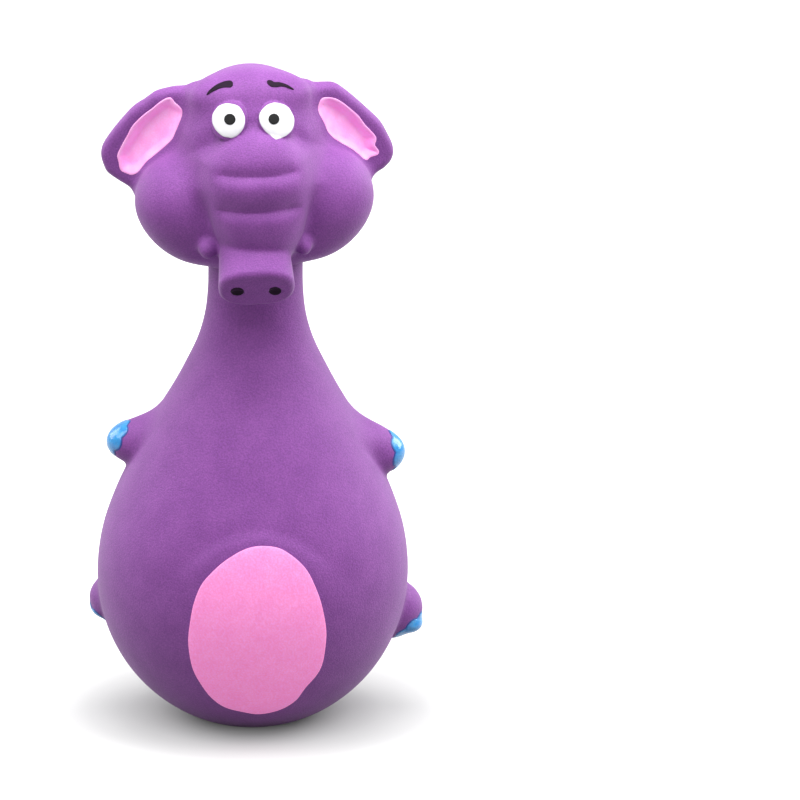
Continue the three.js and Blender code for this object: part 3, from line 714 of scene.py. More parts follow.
def face_distance(local):
    """The skull with its trunk, snout, tusks and eye domes. The trunk's fillet is wide at the height of
    its upper rolls, where it flows into the cheeks, and narrow above and below."""
    height = local[..., 2]
    shoulder = eased(height, *SHOULDER["below"]) * (1 - eased(height, *SHOULDER["above"]))
    fillet = BARREL["fillet"] + SHOULDER["fillet"] * shoulder
    whole = joined(skull_distance(local), barrel_distance(local), fillet)
    whole = joined(whole, snout_distance(local), SNOUT["fillet"])
    for side in (-1, 1):
        whole = joined(whole, ellipsoid_distance(local, **TUSKS[side]), TUSK_FILLET)
        radii = (EYE_DOME["half_width"], EYE_DOME["half_height"], EYE_DOME["depth"])
        dome = ellipsoid_distance(in_frame(local, *eye_frames[side]), (0, 0, 0), radii)
        whole = joined(whole, dome, EYE_DOME["fillet"])
        place = np.array(SNOUT["face"]) + [side * NOSTRIL["out"], 0, 0] - NOSTRIL["down"] * snout_up
        dip = ellipsoid_distance(in_frame(local, place, snout_axes), (0, 0, 0), NOSTRIL["radii"])
        whole = cut(whole, dip, NOSTRIL["edge"])
    return whole


snout_tip = landed(snout_distance, np.array(SNOUT["face"]) + 20 * snout_out, -snout_out)
print("the snout ends", round(-float(snout_tip[1]), 1), "mm before the neck's axis")


# %% [markdown]
# ## Ears
# An ear is a plate with a thick rounded rim on its outer side, and a pocket sunk in its front. The
# pocket is deepest under the outer rim and runs out towards the head. Both outlines are drawn flat,
# where the photograph shows them, and carried along the camera's rays onto the ear's own plane. A
# curve could be extruded into such a plate, but its root has to flow into the cheek, so the ear
# becomes a distance too.

# %% Ear outlines
EAR = {"root": (10.6, -1.5, 14), "thickness": 4.4, "round": 2.1, "fillet": 2.3}
EAR_SWEEP = math.radians(16)
OUTLINE_POINTS = 160
EAR_OUTLINES = {
    -1: [(196, 87), (185, 86), (175, 86), (165, 88), (155, 91), (145, 98), (133, 106), (120, 120), (109, 134),
         (103, 144), (101.5, 153), (103.5, 162), (108, 171), (118, 178.5), (130, 186), (142, 196), (160, 200),
         (185, 180), (200, 150), (205, 110)],
    1: [(305, 84), (314, 82.5), (325, 81.7), (335, 82.6), (345, 89), (356, 98), (366, 107), (379, 119.5),
        (387, 133), (391.5, 143), (392.5, 152), (389.5, 160), (383, 167), (377, 171), (368, 178), (352, 190),
        (330, 180), (312, 150), (300, 110)],
}
EAR_POCKETS = {
    -1: [(169.6, 97.8), (176.2, 103.2), (188, 109), (190, 120), (185, 131), (180, 140), (168.8, 147),
         (156.3, 156.8), (146.4, 166), (141.4, 171.8), (136.4, 173.5), (129.8, 175), (121.5, 171.2),
         (118.2, 162.9), (117.4, 154.6), (121.5, 145.5), (126.5, 136.3), (131.5, 127.2), (139.8, 118.1),
         (149.7, 109.8), (159.7, 102.3)],
    1: [(308, 108), (318, 100), (328.2, 97.2), (335.7, 98.6), (343.9, 103.5), (353.9, 111.2),
        (361.4, 119.5), (368.8, 128.5), (375.5, 135.5), (376.2, 140.5), (375.6, 145.6), (379.2, 151.3),
        (377.9, 154.6), (370.5, 157.6), (365.5, 161.2), (359.7, 160.6), (353.1, 155), (344.8, 150),
        (334.8, 145), (325, 140.5), (318, 133), (313, 123)],
}


def ear_axes(side):
    """The ways out along an ear, up it, and out of its front, as columns."""
    out = [side * math.cos(EAR_SWEEP), math.sin(EAR_SWEEP), 0]
    front = [side * math.sin(EAR_SWEEP), -math.cos(EAR_SWEEP), 0]
    return np.stack([out, [0, 0, 1], front], -1)


def on_ear(pixels, side, lift):
    """Pixels carried along their rays onto the ear's plane, moved forward by the lift."""
    axes = head_axes @ ear_axes(side)
    origin = from_head(np.array(mirrored(EAR["root"], side))) + lift * axes[:, 2]
    ways = photo_rays(pixels)
    reach = ((origin - camera_place) @ axes[:, 2]) / (ways @ axes[:, 2])
    return (camera_place + ways * reach[..., None] - origin) @ axes[:, :2]


ear_lines = {s: closed_line(on_ear(EAR_OUTLINES[s], s, 0), OUTLINE_POINTS) for s in (-1, 1)}
pocket_lines = {
    s: closed_line(on_ear(EAR_POCKETS[s], s, EAR["thickness"] / 2), OUTLINE_POINTS) for s in (-1, 1)
}
print("ear spans", {s: np.round(np.ptp(line, axis=0), 1).tolist() for s, line in ear_lines.items()})

# %% [markdown]
# A freely drawn outline has no formula, so its distance is worked out once on a flat grid of points.
# Later the ear reads this table, which takes far less time than asking the outline again.

# %% Tables of distances
TABLE_STEP = 0.2
TABLE_LOW = np.array([-14.0, -10.0])
TABLE_HIGH = np.array([26.0, 28.0])
TABLE_BATCHES = 12
LAST_CELL = 1.001


def signed_distances(points, line):
    """Distances from a closed flat line, below zero inside it: the least to any of its stretches."""
    ends = np.roll(line, -1, axis=0)
    along = ends - line
    offset = points[:, None] - line
    share = np.clip((offset * along).sum(-1) / np.maximum((along**2).sum(-1), TINY), 0, 1)
    least = np.linalg.norm(offset - share[..., None] * along, axis=-1).min(1)
    crosses = (line[:, 1] > points[:, None, 1]) != (ends[:, 1] > points[:, None, 1])
    safe = np.where(np.abs(along[:, 1]) < TINY, TINY, along[:, 1])
    left = offset[..., 0] < offset[..., 1] * along[:, 0] / safe
    return np.where((crosses & left).sum(1) % 2 == 1, -least, least)


def distance_table(line):
    """The signed distances of a line on a flat grid."""
    counts = ((TABLE_HIGH - TABLE_LOW) / TABLE_STEP).astype(int) + 1
    u = TABLE_LOW[0] + TABLE_STEP * np.arange(counts[0])
    v = TABLE_LOW[1] + TABLE_STEP * np.arange(counts[1])
    flat = np.stack(np.meshgrid(u, v, indexing="ij"), -1).reshape(-1, 2)
    parts = [signed_distances(part, line) for part in np.array_split(flat, TABLE_BATCHES)]
    return np.concatenate(parts).reshape(counts)


def read_table(table, flat):
    """The table between its grid points: the mean of the four round a place, weighed by nearness."""
    place = (flat - TABLE_LOW.astype(flat.dtype)) / TABLE_STEP
    place = np.clip(place, 0, np.array(table.shape) - LAST_CELL)
    i = place.astype(int)
    t = place - i
    low = table[i[..., 0], i[..., 1]] * (1 - t[..., 0]) + table[i[..., 0] + 1, i[..., 1]] * t[..., 0]
    high = table[i[..., 0], i[..., 1] + 1] * (1 - t[..., 0]) + table[i[..., 0] + 1, i[..., 1] + 1] * t[..., 0]
    return low * (1 - t[..., 1]) + high * t[..., 1]


ear_tables = {s: distance_table(line).astype(np.float32) for s, line in ear_lines.items()}
pocket_tables = {s: distance_table(line).astype(np.float32) for s, line in pocket_lines.items()}
print("each table has", ear_tables[1].size, "distances, down to", round(float(ear_tables[1].min()), 1), "mm")

# %% [markdown]
# With both tables the ear is a plate of even thickness with a round edge, less its pocket. Nothing on
# a cast skin stands upright and sharp, so the pocket's wall falls over a short width.

# %% Ear form
POCKET = {"depth": 2.0, "wall": 1.9, "slant": np.array([0.75, 0.66]), "least": 0.2, "steepness": 0.8,
          "edge": 0.5}


def pocket_floor(flat, side):
    """How far in front of the plate's middle its front lies: the pocket's wall falls over a short
    width, and its depth grows from the head side to the outer and upper side."""
    inward = -read_table(pocket_tables[side], flat)
    line = pocket_lines[side] @ POCKET["slant"]
    outer = np.clip((flat @ POCKET["slant"] - line.min()) / (line.max() - line.min()), 0, 1)
    share = POCKET["least"] + (1 - POCKET["least"]) * outer
    return EAR["thickness"] / 2 - POCKET["depth"] * share * eased(inward, 0, POCKET["wall"])


def ear_distance(local, side):
    """What lies inside both the outline and the plate's two faces, with a round edge. The pocket is cut
    out of its front."""
    own = in_frame(local, mirrored(EAR["root"], side), ear_axes(side))
    outline = read_table(ear_tables[side], own[..., :2])
    plate = rounded(outline, np.abs(own[..., 2]) - EAR["thickness"] / 2, EAR["round"])
    hollow = (pocket_floor(own[..., :2], side) - own[..., 2]) * POCKET["steepness"]
    return cut(plate, hollow, POCKET["edge"])


def head_distance(points):
    """The face joined with both ears."""
    local = to_head(points)
    whole = face_distance(local)
    for side in (-1, 1):
        whole = joined(whole, ear_distance(local, side), EAR["fillet"])
    return whole


crown = landed(head_distance, np.array([0.0, 0, 160]), np.array([0.0, 0, -1]))
print("the crown of the head is", round(float(crown[2]), 1), "mm high")

# %% [markdown]
# ## The head's skin
# No grid of two parameters covers a head whose trunk overhangs and whose ears stand off, without
# stretching or seams. So the head is made another way, from its distance: space is cut into small
# cubes, each cube that the surface passes through gets one point, and points of neighbouring cubes
# join into quads. This is called a surface net. Blender's Remesh modifier does much the same to a
# mesh, but here there is no mesh yet, and each point can still slide along the slope of the distance
# until it lies on the surface.

# %% Points of a net
def edge_crossings(values, axis):
    """For each edge of the grid along an axis: whether the surface crosses it, at which share of its
    length, and whether its lower end lies inside."""
    lower = tuple(slice(0, -1) if k == axis else slice(None) for k in range(3))
    upper = tuple(slice(1, None) if k == axis else slice(None) for k in range(3))
    inside = values < 0
    crossing = inside[lower] != inside[upper]
    gap = np.where(crossing, values[lower] - values[upper], 1)
    share = np.where(crossing, values[lower] / gap, 0)
    return crossing, share, inside[lower]


def cube_points(crossed, cells):
    """The mean of the crossings on the edges of each cube that has any, and the number of each such cube."""
    total = np.zeros((*cells, 3), np.float32)
    number = np.zeros(cells, np.float32)
    for axis, (crossing, share, _) in enumerate(crossed):
        b, c = (axis + 1) % 3, (axis + 2) % 3
        for shift_b, shift_c in ((0, 0), (0, 1), (1, 0), (1, 1)):
            part = [slice(None)] * 3
            part[b] = slice(shift_b, shift_b + cells[b])
            part[c] = slice(shift_c, shift_c + cells[c])
            here = crossing[tuple(part)]
            total[..., axis] += share[tuple(part)]
            total[..., b] += here * shift_b
            total[..., c] += here * shift_c
            number += here
    active = number > 0
    index = np.full(cells, -1)
    index[active] = np.arange(active.sum())
    return np.argwhere(active) + total[active] / number[active][:, None], index


_, crossed_at, _ = edge_crossings(np.array([-1.0, 3.0]).reshape(2, 1, 1), 0)
print("an edge from 1 mm inside to 3 mm outside is crossed at", crossed_at.item(), "of its length")

# %% [markdown]
# Four cubes share each crossed edge, and the points of the four are the corners of its quad.

# %% Surface net
def edge_quads(crossing, inside_low, axis, index):
    """A quad round each crossed edge, through the points of the four cubes that share it."""
    b, c = (axis + 1) % 3, (axis + 2) % 3
    edges = np.argwhere(crossing)
    within = (edges[:, b] > 0) & (edges[:, c] > 0)
    within &= (edges[:, b] < index.shape[b]) & (edges[:, c] < index.shape[c])
    edges = edges[within]
    around = []
    for shift_b, shift_c in ((-1, -1), (0, -1), (0, 0), (-1, 0)):
        cell = edges.copy()
        cell[:, b] += shift_b
        cell[:, c] += shift_c
        around.append(index[tuple(cell.T)])
    faces = np.stack(around, -1)
    outward = inside_low[tuple(edges.T)]
    return np.where(outward[:, None], faces, faces[:, ::-1])


def surface_net(distance_to, low, high, step):
    """The points and quads of the surface where a distance is nought, between two corners of a box."""
    counts = np.ceil((np.array(high) - low) / step).astype(int) + 1
    lines = [(low[k] + step * np.arange(counts[k])).astype(np.float32) for k in range(3)]
    values = distance_to(np.stack(np.meshgrid(*lines, indexing="ij"), -1))
    crossed = [edge_crossings(values, axis) for axis in range(3)]
    places, index = cube_points(crossed, counts - 1)
    quads = [edge_quads(crossing, inside_low, axis, index)
             for axis, (crossing, _, inside_low) in enumerate(crossed)]
    return np.array(low) + step * places, np.concatenate(quads)


ball_points, ball_quads = surface_net(ball_distance, (-3.5, -3.5, -3.5), (3.5, 3.5, 3.5), 0.25)
print("the net of the trial ball has", len(ball_points), "points and", len(ball_quads), "quads")

# %% [markdown]
# The head is cut into cubes of less than half a millimetre, which is as fine as its creases need.
# Each point's last steps onto the surface are short ones, so that no point jumps across a crease.

# %% Net of the head
LONGEST_STEP = 0.3
LEAST_SLOPE = 0.05


def settled(distance_to, points, rounds=4):
    """Points moved onto the surface: each goes back by its distance over the slope squared, along the
    slope."""
    for _ in range(rounds):
        slope = slope_of(distance_to, points)
        steep = np.maximum((slope**2).sum(-1, keepdims=True), LEAST_SLOPE)
        share = np.clip(distance_to(points)[..., None] / steep, -LONGEST_STEP, LONGEST_STEP)
        points = points - share * slope
    return points


NET_STEP = 0.42
NET_LOW = (-31.0, -28.0, 81.5)
NET_HIGH = (30.0, 17.0, 127.0)
net_points, net_quads = surface_net(head_distance, NET_LOW, NET_HIGH, NET_STEP)
net_points = settled(head_distance, net_points)
net_normals = unit(slope_of(head_distance, net_points))
print("the net has", len(net_points), "points and", len(net_quads), "quads")

# %% [markdown]
# Each ear bends on a line down its root, where the hinge of the model lies. An ear could be a mesh of
# its own, pushed into the head, but a line would show round its root. So the net is divided instead:
# beyond the hinge, what stands clear of the head is the ear. Both sides keep the same points and
# normals along the cut, so it doesn't show, and the ear's bend starts just there.

# %% Divide the net at the ear roots
ROOT_WIDTH = 2.6
FACE_CLEARANCE = 0.45
HUB_DEPTH = 9


def root_of(side):
    """Where an ear starts to bend, where it has bent, and the way out across its hinge."""
    joint = joints["ear_left_flap" if side < 0 else "ear_right_flap"]
    middle = np.array(joint["pos_m"]) / MM
    front = head_axes @ ear_axes(side)[:, 2]
    out = unit(np.cross(np.array(joint["axis"]), front))
    out = out * np.sign(out[0] * side)
    return middle - out * ROOT_WIDTH / 2, middle + out * ROOT_WIDTH / 2, out


def on_flap(points, side):
    """Whether points belong to an ear: past its root line, and clear of the face."""
    start, _, out = root_of(side)
    clear = face_distance(to_head(points)) > FACE_CLEARANCE
    return ((points - start) @ out > 0) & clear & (points[:, 0] * side > 0)


def closed_part(name, quads):
    """A part of the net as a piece, with every open edge closed by a fan to a point well inside the head,
    beyond the middle of the edge's loop."""
    used, index = np.unique(quads, return_inverse=True)
    quads = index.reshape(-1, 4)
    points, normals = net_points[used], net_normals[used]
    edges = np.stack([quads, np.roll(quads, -1, axis=1)], -1).reshape(-1, 2)
    key = edges[:, 0] * len(points) + edges[:, 1]
    back = edges[:, 1] * len(points) + edges[:, 0]
    loose = edges[~np.isin(key, back)]
    fans = []
    for side in (-1, 1):
        rim = loose[points[loose[:, 0], 0] * side > 0]
        if len(rim):
            hub = points[rim.ravel()].mean(0) - HUB_DEPTH * root_of(side)[2]
            points = np.concatenate([points, [hub]])
            normals = np.concatenate([normals, [[0, 0, 0]]])
            fans.append(np.stack([rim[:, 1], rim[:, 0], np.full(len(rim), len(points) - 1)], -1))
    triangles = np.concatenate(fans) if fans else ()
    return new_piece(name, points, quads, triangles, normals)


middles = net_points[net_quads].mean(1)
left_flap, right_flap = on_flap(middles, -1), on_flap(middles, 1)
head_skin = closed_part("skin_head", net_quads[~left_flap & ~right_flap])
ear_skins = {
    -1: closed_part("skin_ear_left", net_quads[left_flap]),
    1: closed_part("skin_ear_right", net_quads[right_flap]),
}

# %% [markdown]
# ## Paint
# Each colour is a thin coat brushed over the dry skin, so it follows the form beneath and ends in a
# soft, slightly unsteady edge. It could be a pattern in the skin's material, but real paint has a
# thickness and a rim that catches the light, so each dab is a piece: a grid of rings from its middle
# to its outline. The outline is given in the photograph's pixels, and each point rides its camera ray
# down to the skin. The coat is closed: its top stands proud by one or two tenths of a millimetre and
# rolls down at the rim, and its underside lies just inside the skin.

# %% Coats of paint
COAT_RISE = 0.14
COAT_SINK = 0.12
RIM_START = 0.94
RING_SHARES = np.concatenate([np.linspace(0, RIM_START, 24)[1:], [0.965, 0.985, 0.996, 1]])
BRUSH_WAVES = np.arange(5, 17)
FRONT_REACH = 60


def coat(name, rings_of, distance_to, rise=COAT_RISE):
    """A closed coat of even thickness. Near the rim, at a share s of the way across it, the thickness is
    the root of 1 - s^2 of that."""
    base = rings_of(RING_SHARES)
    normals = unit(slope_of(distance_to, base))
    roll = np.clip((RING_SHARES - RIM_START) / (1 - RIM_START), 0, 1)
    top = base + normals * (rise * np.sqrt(1 - roll**2))[:, None, None]
    under = (base - normals * COAT_SINK)[::-1]
    return ringed_piece(name, top[0].mean(0), np.concatenate([top, under]), under[-1].mean(0))


def wobbly(line, size, seed):
    """A closed line whose points move in and out by a few slow waves, as a brushed edge does."""
    dice = np.random.default_rng(seed)
    turn = np.linspace(0, 2 * math.pi, len(line), endpoint=False)[:, None]
    phases = dice.uniform(0, 2 * math.pi, len(BRUSH_WAVES))
    strengths = dice.uniform(0.4, 1, len(BRUSH_WAVES)) / len(BRUSH_WAVES) ** 0.5
    swing = (np.sin(turn * BRUSH_WAVES + phases) * strengths).sum(1)
    middle = line.mean(0)
    return line + unit(line - middle) * (swing * size)[:, None]


def photo_rings(pixels, distance_to, count=120, wobble=0.25, seed=1):
    """Rings inside an outline in pixels, carried along the camera's rays down to a form."""
    line = wobbly(closed_line(pixels, count), wobble, seed)
    middle = line.mean(0)

    def rings_of(shares):
        flat = middle + shares[:, None, None] * (line - middle)
        ways = photo_rays(flat)
        starts = camera_place + ways * (distance - FRONT_REACH)
        return landed(distance_to, starts, ways)

    return rings_of


BELLY_CROP = np.array([170, 500])
BELLY_ZOOM = 5.5
BELLY_POINTS = 240
BELLY_OUTLINE = [
    (500, 253), (600, 266), (692, 322), (762, 400), (812, 510), (846, 625), (860, 750), (846, 870),
    (808, 962), (742, 1036), (690, 1104), (600, 1156), (500, 1178), (400, 1166), (300, 1138),
    (220, 1080), (160, 1000), (120, 910), (101, 800), (108, 690), (130, 570), (170, 470), (230, 400),
    (310, 330), (400, 276),
]
belly_line = BELLY_CROP + np.array(BELLY_OUTLINE) / BELLY_ZOOM
belly_paint = coat("paint_belly", photo_rings(belly_line, body_distance, BELLY_POINTS), body_distance)
print("the belly's paint spans", np.ptp(belly_line, axis=0).round(0).tolist(), "pixels of the photograph")

# %% [markdown]
# The eyes are white coats on low domes. The paint stops short of each dome's foot, which leaves the
# thin dark ring round it, and has run to a small point at the bottom. The pupils go on last, and the
# brows are single strokes of the brush, thick at the inner end. Plain discs would look printed, so
# the outlines follow the photograph, and each edge is a little unsteady.

# %% Eyes, pupils, brows and nostrils
FACE_CROP = np.array([95, 55])
FACE_ZOOM = 4
FACE_POINTS = 72
FACE_SEED = 3
EYE_OUTLINES = {
    "left": [(535, 194), (572, 204), (594, 232), (600, 266), (590, 300), (567, 324), (548, 333), (536, 330),
             (516, 327), (489, 307), (471, 275), (471, 240), (490, 209), (511, 197)],
    "right": [(726, 191), (765, 204), (788, 232), (797, 265), (788, 299), (764, 324), (737, 335), (722, 337),
              (706, 326), (676, 299), (658, 265), (660, 232), (681, 206), (703, 194)],
}
# The middle of each spot on the crop, across and down, and half its width and height.
PUPILS = {"left": (540, 258, 23, 22.5), "right": (715, 257, 22, 22)}
BROW_OUTLINES = {
    "left": [(447, 161), (452, 147), (470, 130), (495, 114), (520, 105), (540, 102), (551, 109), (551, 122),
             (542, 130), (520, 130), (495, 136), (470, 148)],
    "right": [(687, 107), (692, 101), (702, 101), (715, 108), (735, 109), (757, 114), (778, 124), (796, 138),
              (788, 139), (768, 130), (745, 127), (722, 129), (704, 127), (692, 118)],
}
NOSTRIL_SPOTS = {"left": (569, 946, 27, 16), "right": (720.5, 944, 25, 16)}
# How unsteady each stroke's edge is, in pixels, and how proud it stands, in millimetres.
STROKES = {"eye": (0.12, 0.12), "pupil": (0.05, 0.22), "brow": (0.1, 0.1), "nostril": (0.1, 0.08)}


def from_crop(points):
    """Places read off an enlarged crop of the face, as pixels of the photograph."""
    return FACE_CROP + np.asarray(points, float) / FACE_ZOOM


def oval(middle_x, middle_y, half_width, half_height):
    """Twelve points round an oval."""
    turn = np.linspace(0, 2 * math.pi, 12, endpoint=False)
    return np.stack([middle_x + half_width * np.cos(turn), middle_y + half_height * np.sin(turn)], -1)


face_paint = {}
for seed, name in enumerate(("left", "right")):
    outlines = {
        "eye": EYE_OUTLINES[name], "pupil": oval(*PUPILS[name]),
        "brow": BROW_OUTLINES[name], "nostril": oval(*NOSTRIL_SPOTS[name]),
    }
    for kind, points in outlines.items():
        wobble, rise = STROKES[kind]
        rings = photo_rings(from_crop(points), head_distance, FACE_POINTS, wobble, FACE_SEED + seed)
        face_paint[f"{kind}_{name}"] = coat(f"paint_{kind}_{name}", rings, head_distance, rise)

# %% [markdown]
# The pink of an ear fills its pocket. It reaches a little further in than the camera sees, behind the
# side of the head, so it is laid straight on from the ear's front and not along the camera's rays.

# %% Pink of the ears
CREASE_CLIMB = 0.25
PINK_WOBBLE = 0.08
PINK_SEED = 7
DROP_HEIGHT = 6
DRAWN_IN = np.linspace(0.3, 1, 71)
EVENED_OVER = 3


def ear_rings(side, seed):
    """Rings inside the pocket's line, dropped on the skin square to the ear's plane. Where the side of
    the head climbs above the plane, the line is drawn in to the crease, evened over its neighbours."""
    line = wobbly(pocket_lines[side], PINK_WOBBLE, seed)
    middle = line.mean(0)
    axes, root = ear_axes(side), np.array(mirrored(EAR["root"], side))

    def dropped(shares):
        flat = middle + shares[..., None] * (line - middle)
        starts = root + flat @ axes[:, :2].T + DROP_HEIGHT * axes[:, 2]
        return landed(head_distance, from_head(starts), -head_axes @ axes[:, 2])

    shares = DRAWN_IN[:, None] * np.ones(len(line))
    height = (to_head(dropped(shares)) - root) @ axes[:, 2]
    reach = np.where(height > EAR["thickness"] / 2 + CREASE_CLIMB, shares, 1).min(0)
    reach = np.mean([np.roll(reach, k) for k in range(-EVENED_OVER, EVENED_OVER + 1)], axis=0)
    return lambda shares: dropped(shares[:, None] * reach)


ear_paint = {side: coat(f"paint_ear_{name}", ear_rings(side, PINK_SEED + side), head_distance)
             for side, name in ((-1, "left"), (1, "right"))}

# %% [markdown]
# The nails are blue dabs over the ends of the stubs, with a scalloped edge for the toes. The camera
# sees them from the side, so its rays can't lay them. Such a cap is a fan of rays from inside the
# stub instead: each ring leans further from the stub's tip, and each ray comes in from outside and
# stops on the skin. Where the brush ran thin at the edge, the purple shows through and makes a darker
# blue line, so a flatter and slightly wider cap lies under each dab.

# %% Nails
NAILS = {
    "arm_nails_left": {"limb": "arm_left", "tip": (-0.93, -0.1, 0.28), "edge": 32, "phase": 0.4},
    "arm_nails_right": {"limb": "arm_right", "tip": (0.98, 0.05, 0.05), "edge": 33, "phase": 1.2},
    "foot_nails_left": {"limb": "foot_left", "tip": (-0.66, 0.0, -0.75), "edge": 34, "phase": 0.2},
    "foot_nails_right": {"limb": "foot_right", "tip": (0.7, -0.2, -0.69), "edge": 34, "phase": 0.9},
}
NAIL_SCALLOP = 5.5
NAIL_MARGIN = 2.6
NAIL_LOBES = 7
LOBE_BLUNTNESS = 0.01
NAIL_RAY = 14


def nail_rings(nail, margin=0, columns=144):
    """Rings of a cap: at a share s of the way out, a ray leans from the tip by s times the edge's angle.
    The edge swings out in round lobes as |sin| does, and lies further out by the margin."""
    tip = unit(np.array(nail["tip"]))
    across = unit(np.cross(tip, [0, 1, 0]))
    over = np.cross(tip, across)
    turn = np.linspace(0, 2 * math.pi, columns, endpoint=False)
    lobes = np.sqrt(np.sin(NAIL_LOBES / 2 * turn + nail["phase"]) ** 2 + LOBE_BLUNTNESS)
    edge = np.radians(nail["edge"] + NAIL_SCALLOP * lobes + margin)
    middle = np.array(LIMBS[nail["limb"]]["centre"])

    def rings_of(shares):
        lean = shares[:, None, None] * edge[:, None]
        around = np.cos(turn)[:, None] * across + np.sin(turn)[:, None] * over
        ways = np.cos(lean) * tip + np.sin(lean) * around
        return landed(body_distance, middle + ways * NAIL_RAY, -ways)

    return rings_of


nail_paint = {name: coat(f"paint_{name}", nail_rings(nail), body_distance) for name, nail in NAILS.items()}
nail_edges = {name: coat(f"edge_{name}", nail_rings(nail, NAIL_MARGIN), body_distance, COAT_RISE / 2)
              for name, nail in NAILS.items()}

# %% [markdown]
# ## Materials
# Cast latex is matt and faintly dusty: light skims over it in a broad soft sheen, and close up it has
# the fine grain of the plaster mould. The colour isn't quite even either. A picture wrapped round the
# toy could show that, but would have seams, and noise has none. So the colour mixes two purples by a
# slow noise. One fine noise gives the grain: it drives the bump, and where it stands high, it
# lightens the colour as dust would. The patterns use Object coordinates, so they stay on the piece
# when it moves.

# %% A mottled material
PATCH_BAND = (0.35, 0.65)
DUST_BAND = (0.35, 0.75)
GRAIN_HEIGHT = 0.08


def colour(red, green, blue):
    """A colour given as it is seen, from 0 to 255, as the linear values that light uses."""
    seen = np.array([red, green, blue]) / 255
    linear = np.where(seen <= 0.04045, seen / 12.92, ((seen + 0.055) / 1.055) ** 2.4)
    return (*linear.tolist(), 1)


def add_node(tree, kind, **values):
    """A node of one kind in a tree, with the values of some of its inputs."""
    node = tree.nodes.new(kind)
    for socket, value in values.items():
        node.inputs[socket.replace("_", " ")].default_value = value
    return node


def mottled_material(name, light, dark, patch, grain, bump, dust=0.0, **finish):
    """Two colours mixed by a slow noise with patches of one size. A fine noise gives the grain's bump,
    and where it stands high, it lightens the colour by the dust's share."""
    material = bpy.data.materials.new(name)
    material.use_nodes = True
    tree, link = material.node_tree, material.node_tree.links.new
    shader = tree.nodes["Principled BSDF"]
    place = add_node(tree, "ShaderNodeTexCoord")
    slow = add_node(tree, "ShaderNodeTexNoise", Scale=1 / (patch * MM), Detail=3)
    fine = add_node(tree, "ShaderNodeTexNoise", Scale=1 / (grain * MM), Detail=2)
    ramp = add_node(tree, "ShaderNodeValToRGB")
    for stop, share, tint in zip(ramp.color_ramp.elements, PATCH_BAND, (dark, light)):
        stop.position, stop.color = share, tint
    crest = add_node(tree, "ShaderNodeMapRange", From_Min=DUST_BAND[0], From_Max=DUST_BAND[1],
                     To_Min=1 - dust, To_Max=1 + dust)
    powder = add_node(tree, "ShaderNodeHueSaturation")
    relief = add_node(tree, "ShaderNodeBump", Strength=bump, Distance=GRAIN_HEIGHT * MM)
    link(place.outputs["Object"], slow.inputs["Vector"])
    link(place.outputs["Object"], fine.inputs["Vector"])
    link(slow.outputs["Fac"], ramp.inputs["Fac"])
    link(ramp.outputs["Color"], powder.inputs["Color"])
    link(fine.outputs["Fac"], crest.inputs["Value"])
    link(crest.outputs["Result"], powder.inputs["Value"])
    link(powder.outputs["Color"], shader.inputs["Base Color"])
    link(fine.outputs["Fac"], relief.inputs["Height"])
    link(relief.outputs["Normal"], shader.inputs["Normal"])
    for socket, value in finish.items():
        shader.inputs[socket.replace("_", " ")].default_value = value
    return material


light_purple, dark_purple = colour(137, 76, 155), colour(130, 70, 148)
print("the latex's lighter purple is", np.round(light_purple[:3], 3).tolist(), "to the light")

# %% [markdown]
# The paints differ in how they catch light, so each is a material of its own. The pinks also glow a little: a
# painted light that keeps them bright where they turn away from the lamps. The blue of the nails is glossy
# where it is thick. White, black and the plum of brows and nostrils are flat. The squeaker's plastic and its
# brass tongue are smooth.

# %% Latex, paints, plastic and brass
latex = mottled_material(
    "purple_latex", light_purple, dark_purple, patch=5, grain=0.3, bump=0.9, dust=0.17,
    Roughness=0.6, Sheen_Weight=0.12, Sheen_Roughness=0.5, Specular_IOR_Level=0.22)
# The emission of this pink is painted light: a glow that keeps it bright in shade.
pink = mottled_material(
    "pink_paint", colour(236, 147, 203), colour(233, 140, 198), patch=3, grain=0.36, bump=0.6, dust=0.17,
    Roughness=0.6, Specular_IOR_Level=0.25, Emission_Color=colour(255, 138, 212), Emission_Strength=0.32)
# Painted light again: a weaker glow that keeps the pink of the ears bright in shade.
pale_pink = mottled_material(
    "pale_pink_paint", colour(255, 190, 240), colour(255, 170, 232), patch=2, grain=0.3, bump=0.5, dust=0.06,
    Roughness=0.6, Specular_IOR_Level=0.25, Emission_Color=colour(255, 130, 225), Emission_Strength=0.16)
blue = mottled_material(
    "blue_paint", colour(36, 148, 214), colour(24, 130, 204), patch=1.2, grain=0.3, bump=0.2, dust=0.1,
    Roughness=0.16, Specular_IOR_Level=0.6)
thin_blue = mottled_material(
    "thin_blue_paint", colour(30, 74, 150), colour(38, 60, 140), patch=1.2, grain=0.3, bump=0.3, dust=0.1,
    Roughness=0.4, Specular_IOR_Level=0.4)
white = mottled_material(
    "white_paint", colour(228, 228, 230), colour(220, 220, 224), patch=2, grain=0.4, bump=0.2,
    Roughness=0.5, Specular_IOR_Level=0.3)
black = mottled_material(
    "black_paint", colour(16, 16, 17), colour(10, 10, 11), patch=0.8, grain=0.3, bump=0.3,
    Roughness=0.5, Specular_IOR_Level=0.15)
plum = mottled_material(
    "plum_paint", colour(30, 9, 34), colour(22, 6, 26), patch=1.2, grain=0.3, bump=0.3,
    Roughness=0.6, Specular_IOR_Level=0.1)
plastic = mottled_material(
    "squeaker_plastic", colour(236, 232, 220), colour(228, 224, 210), patch=4, grain=0.3, bump=0.1,
    Roughness=0.4, Specular_IOR_Level=0.5)
brass = mottled_material(
    "reed_brass", colour(214, 176, 96), colour(196, 156, 80), patch=1.2, grain=0.15, bump=0.15,
    Roughness=0.28, Metallic=1)
print("mixed:", ", ".join(m.name for m in (latex, pink, pale_pink, blue, thin_blue, white, black, plum)))
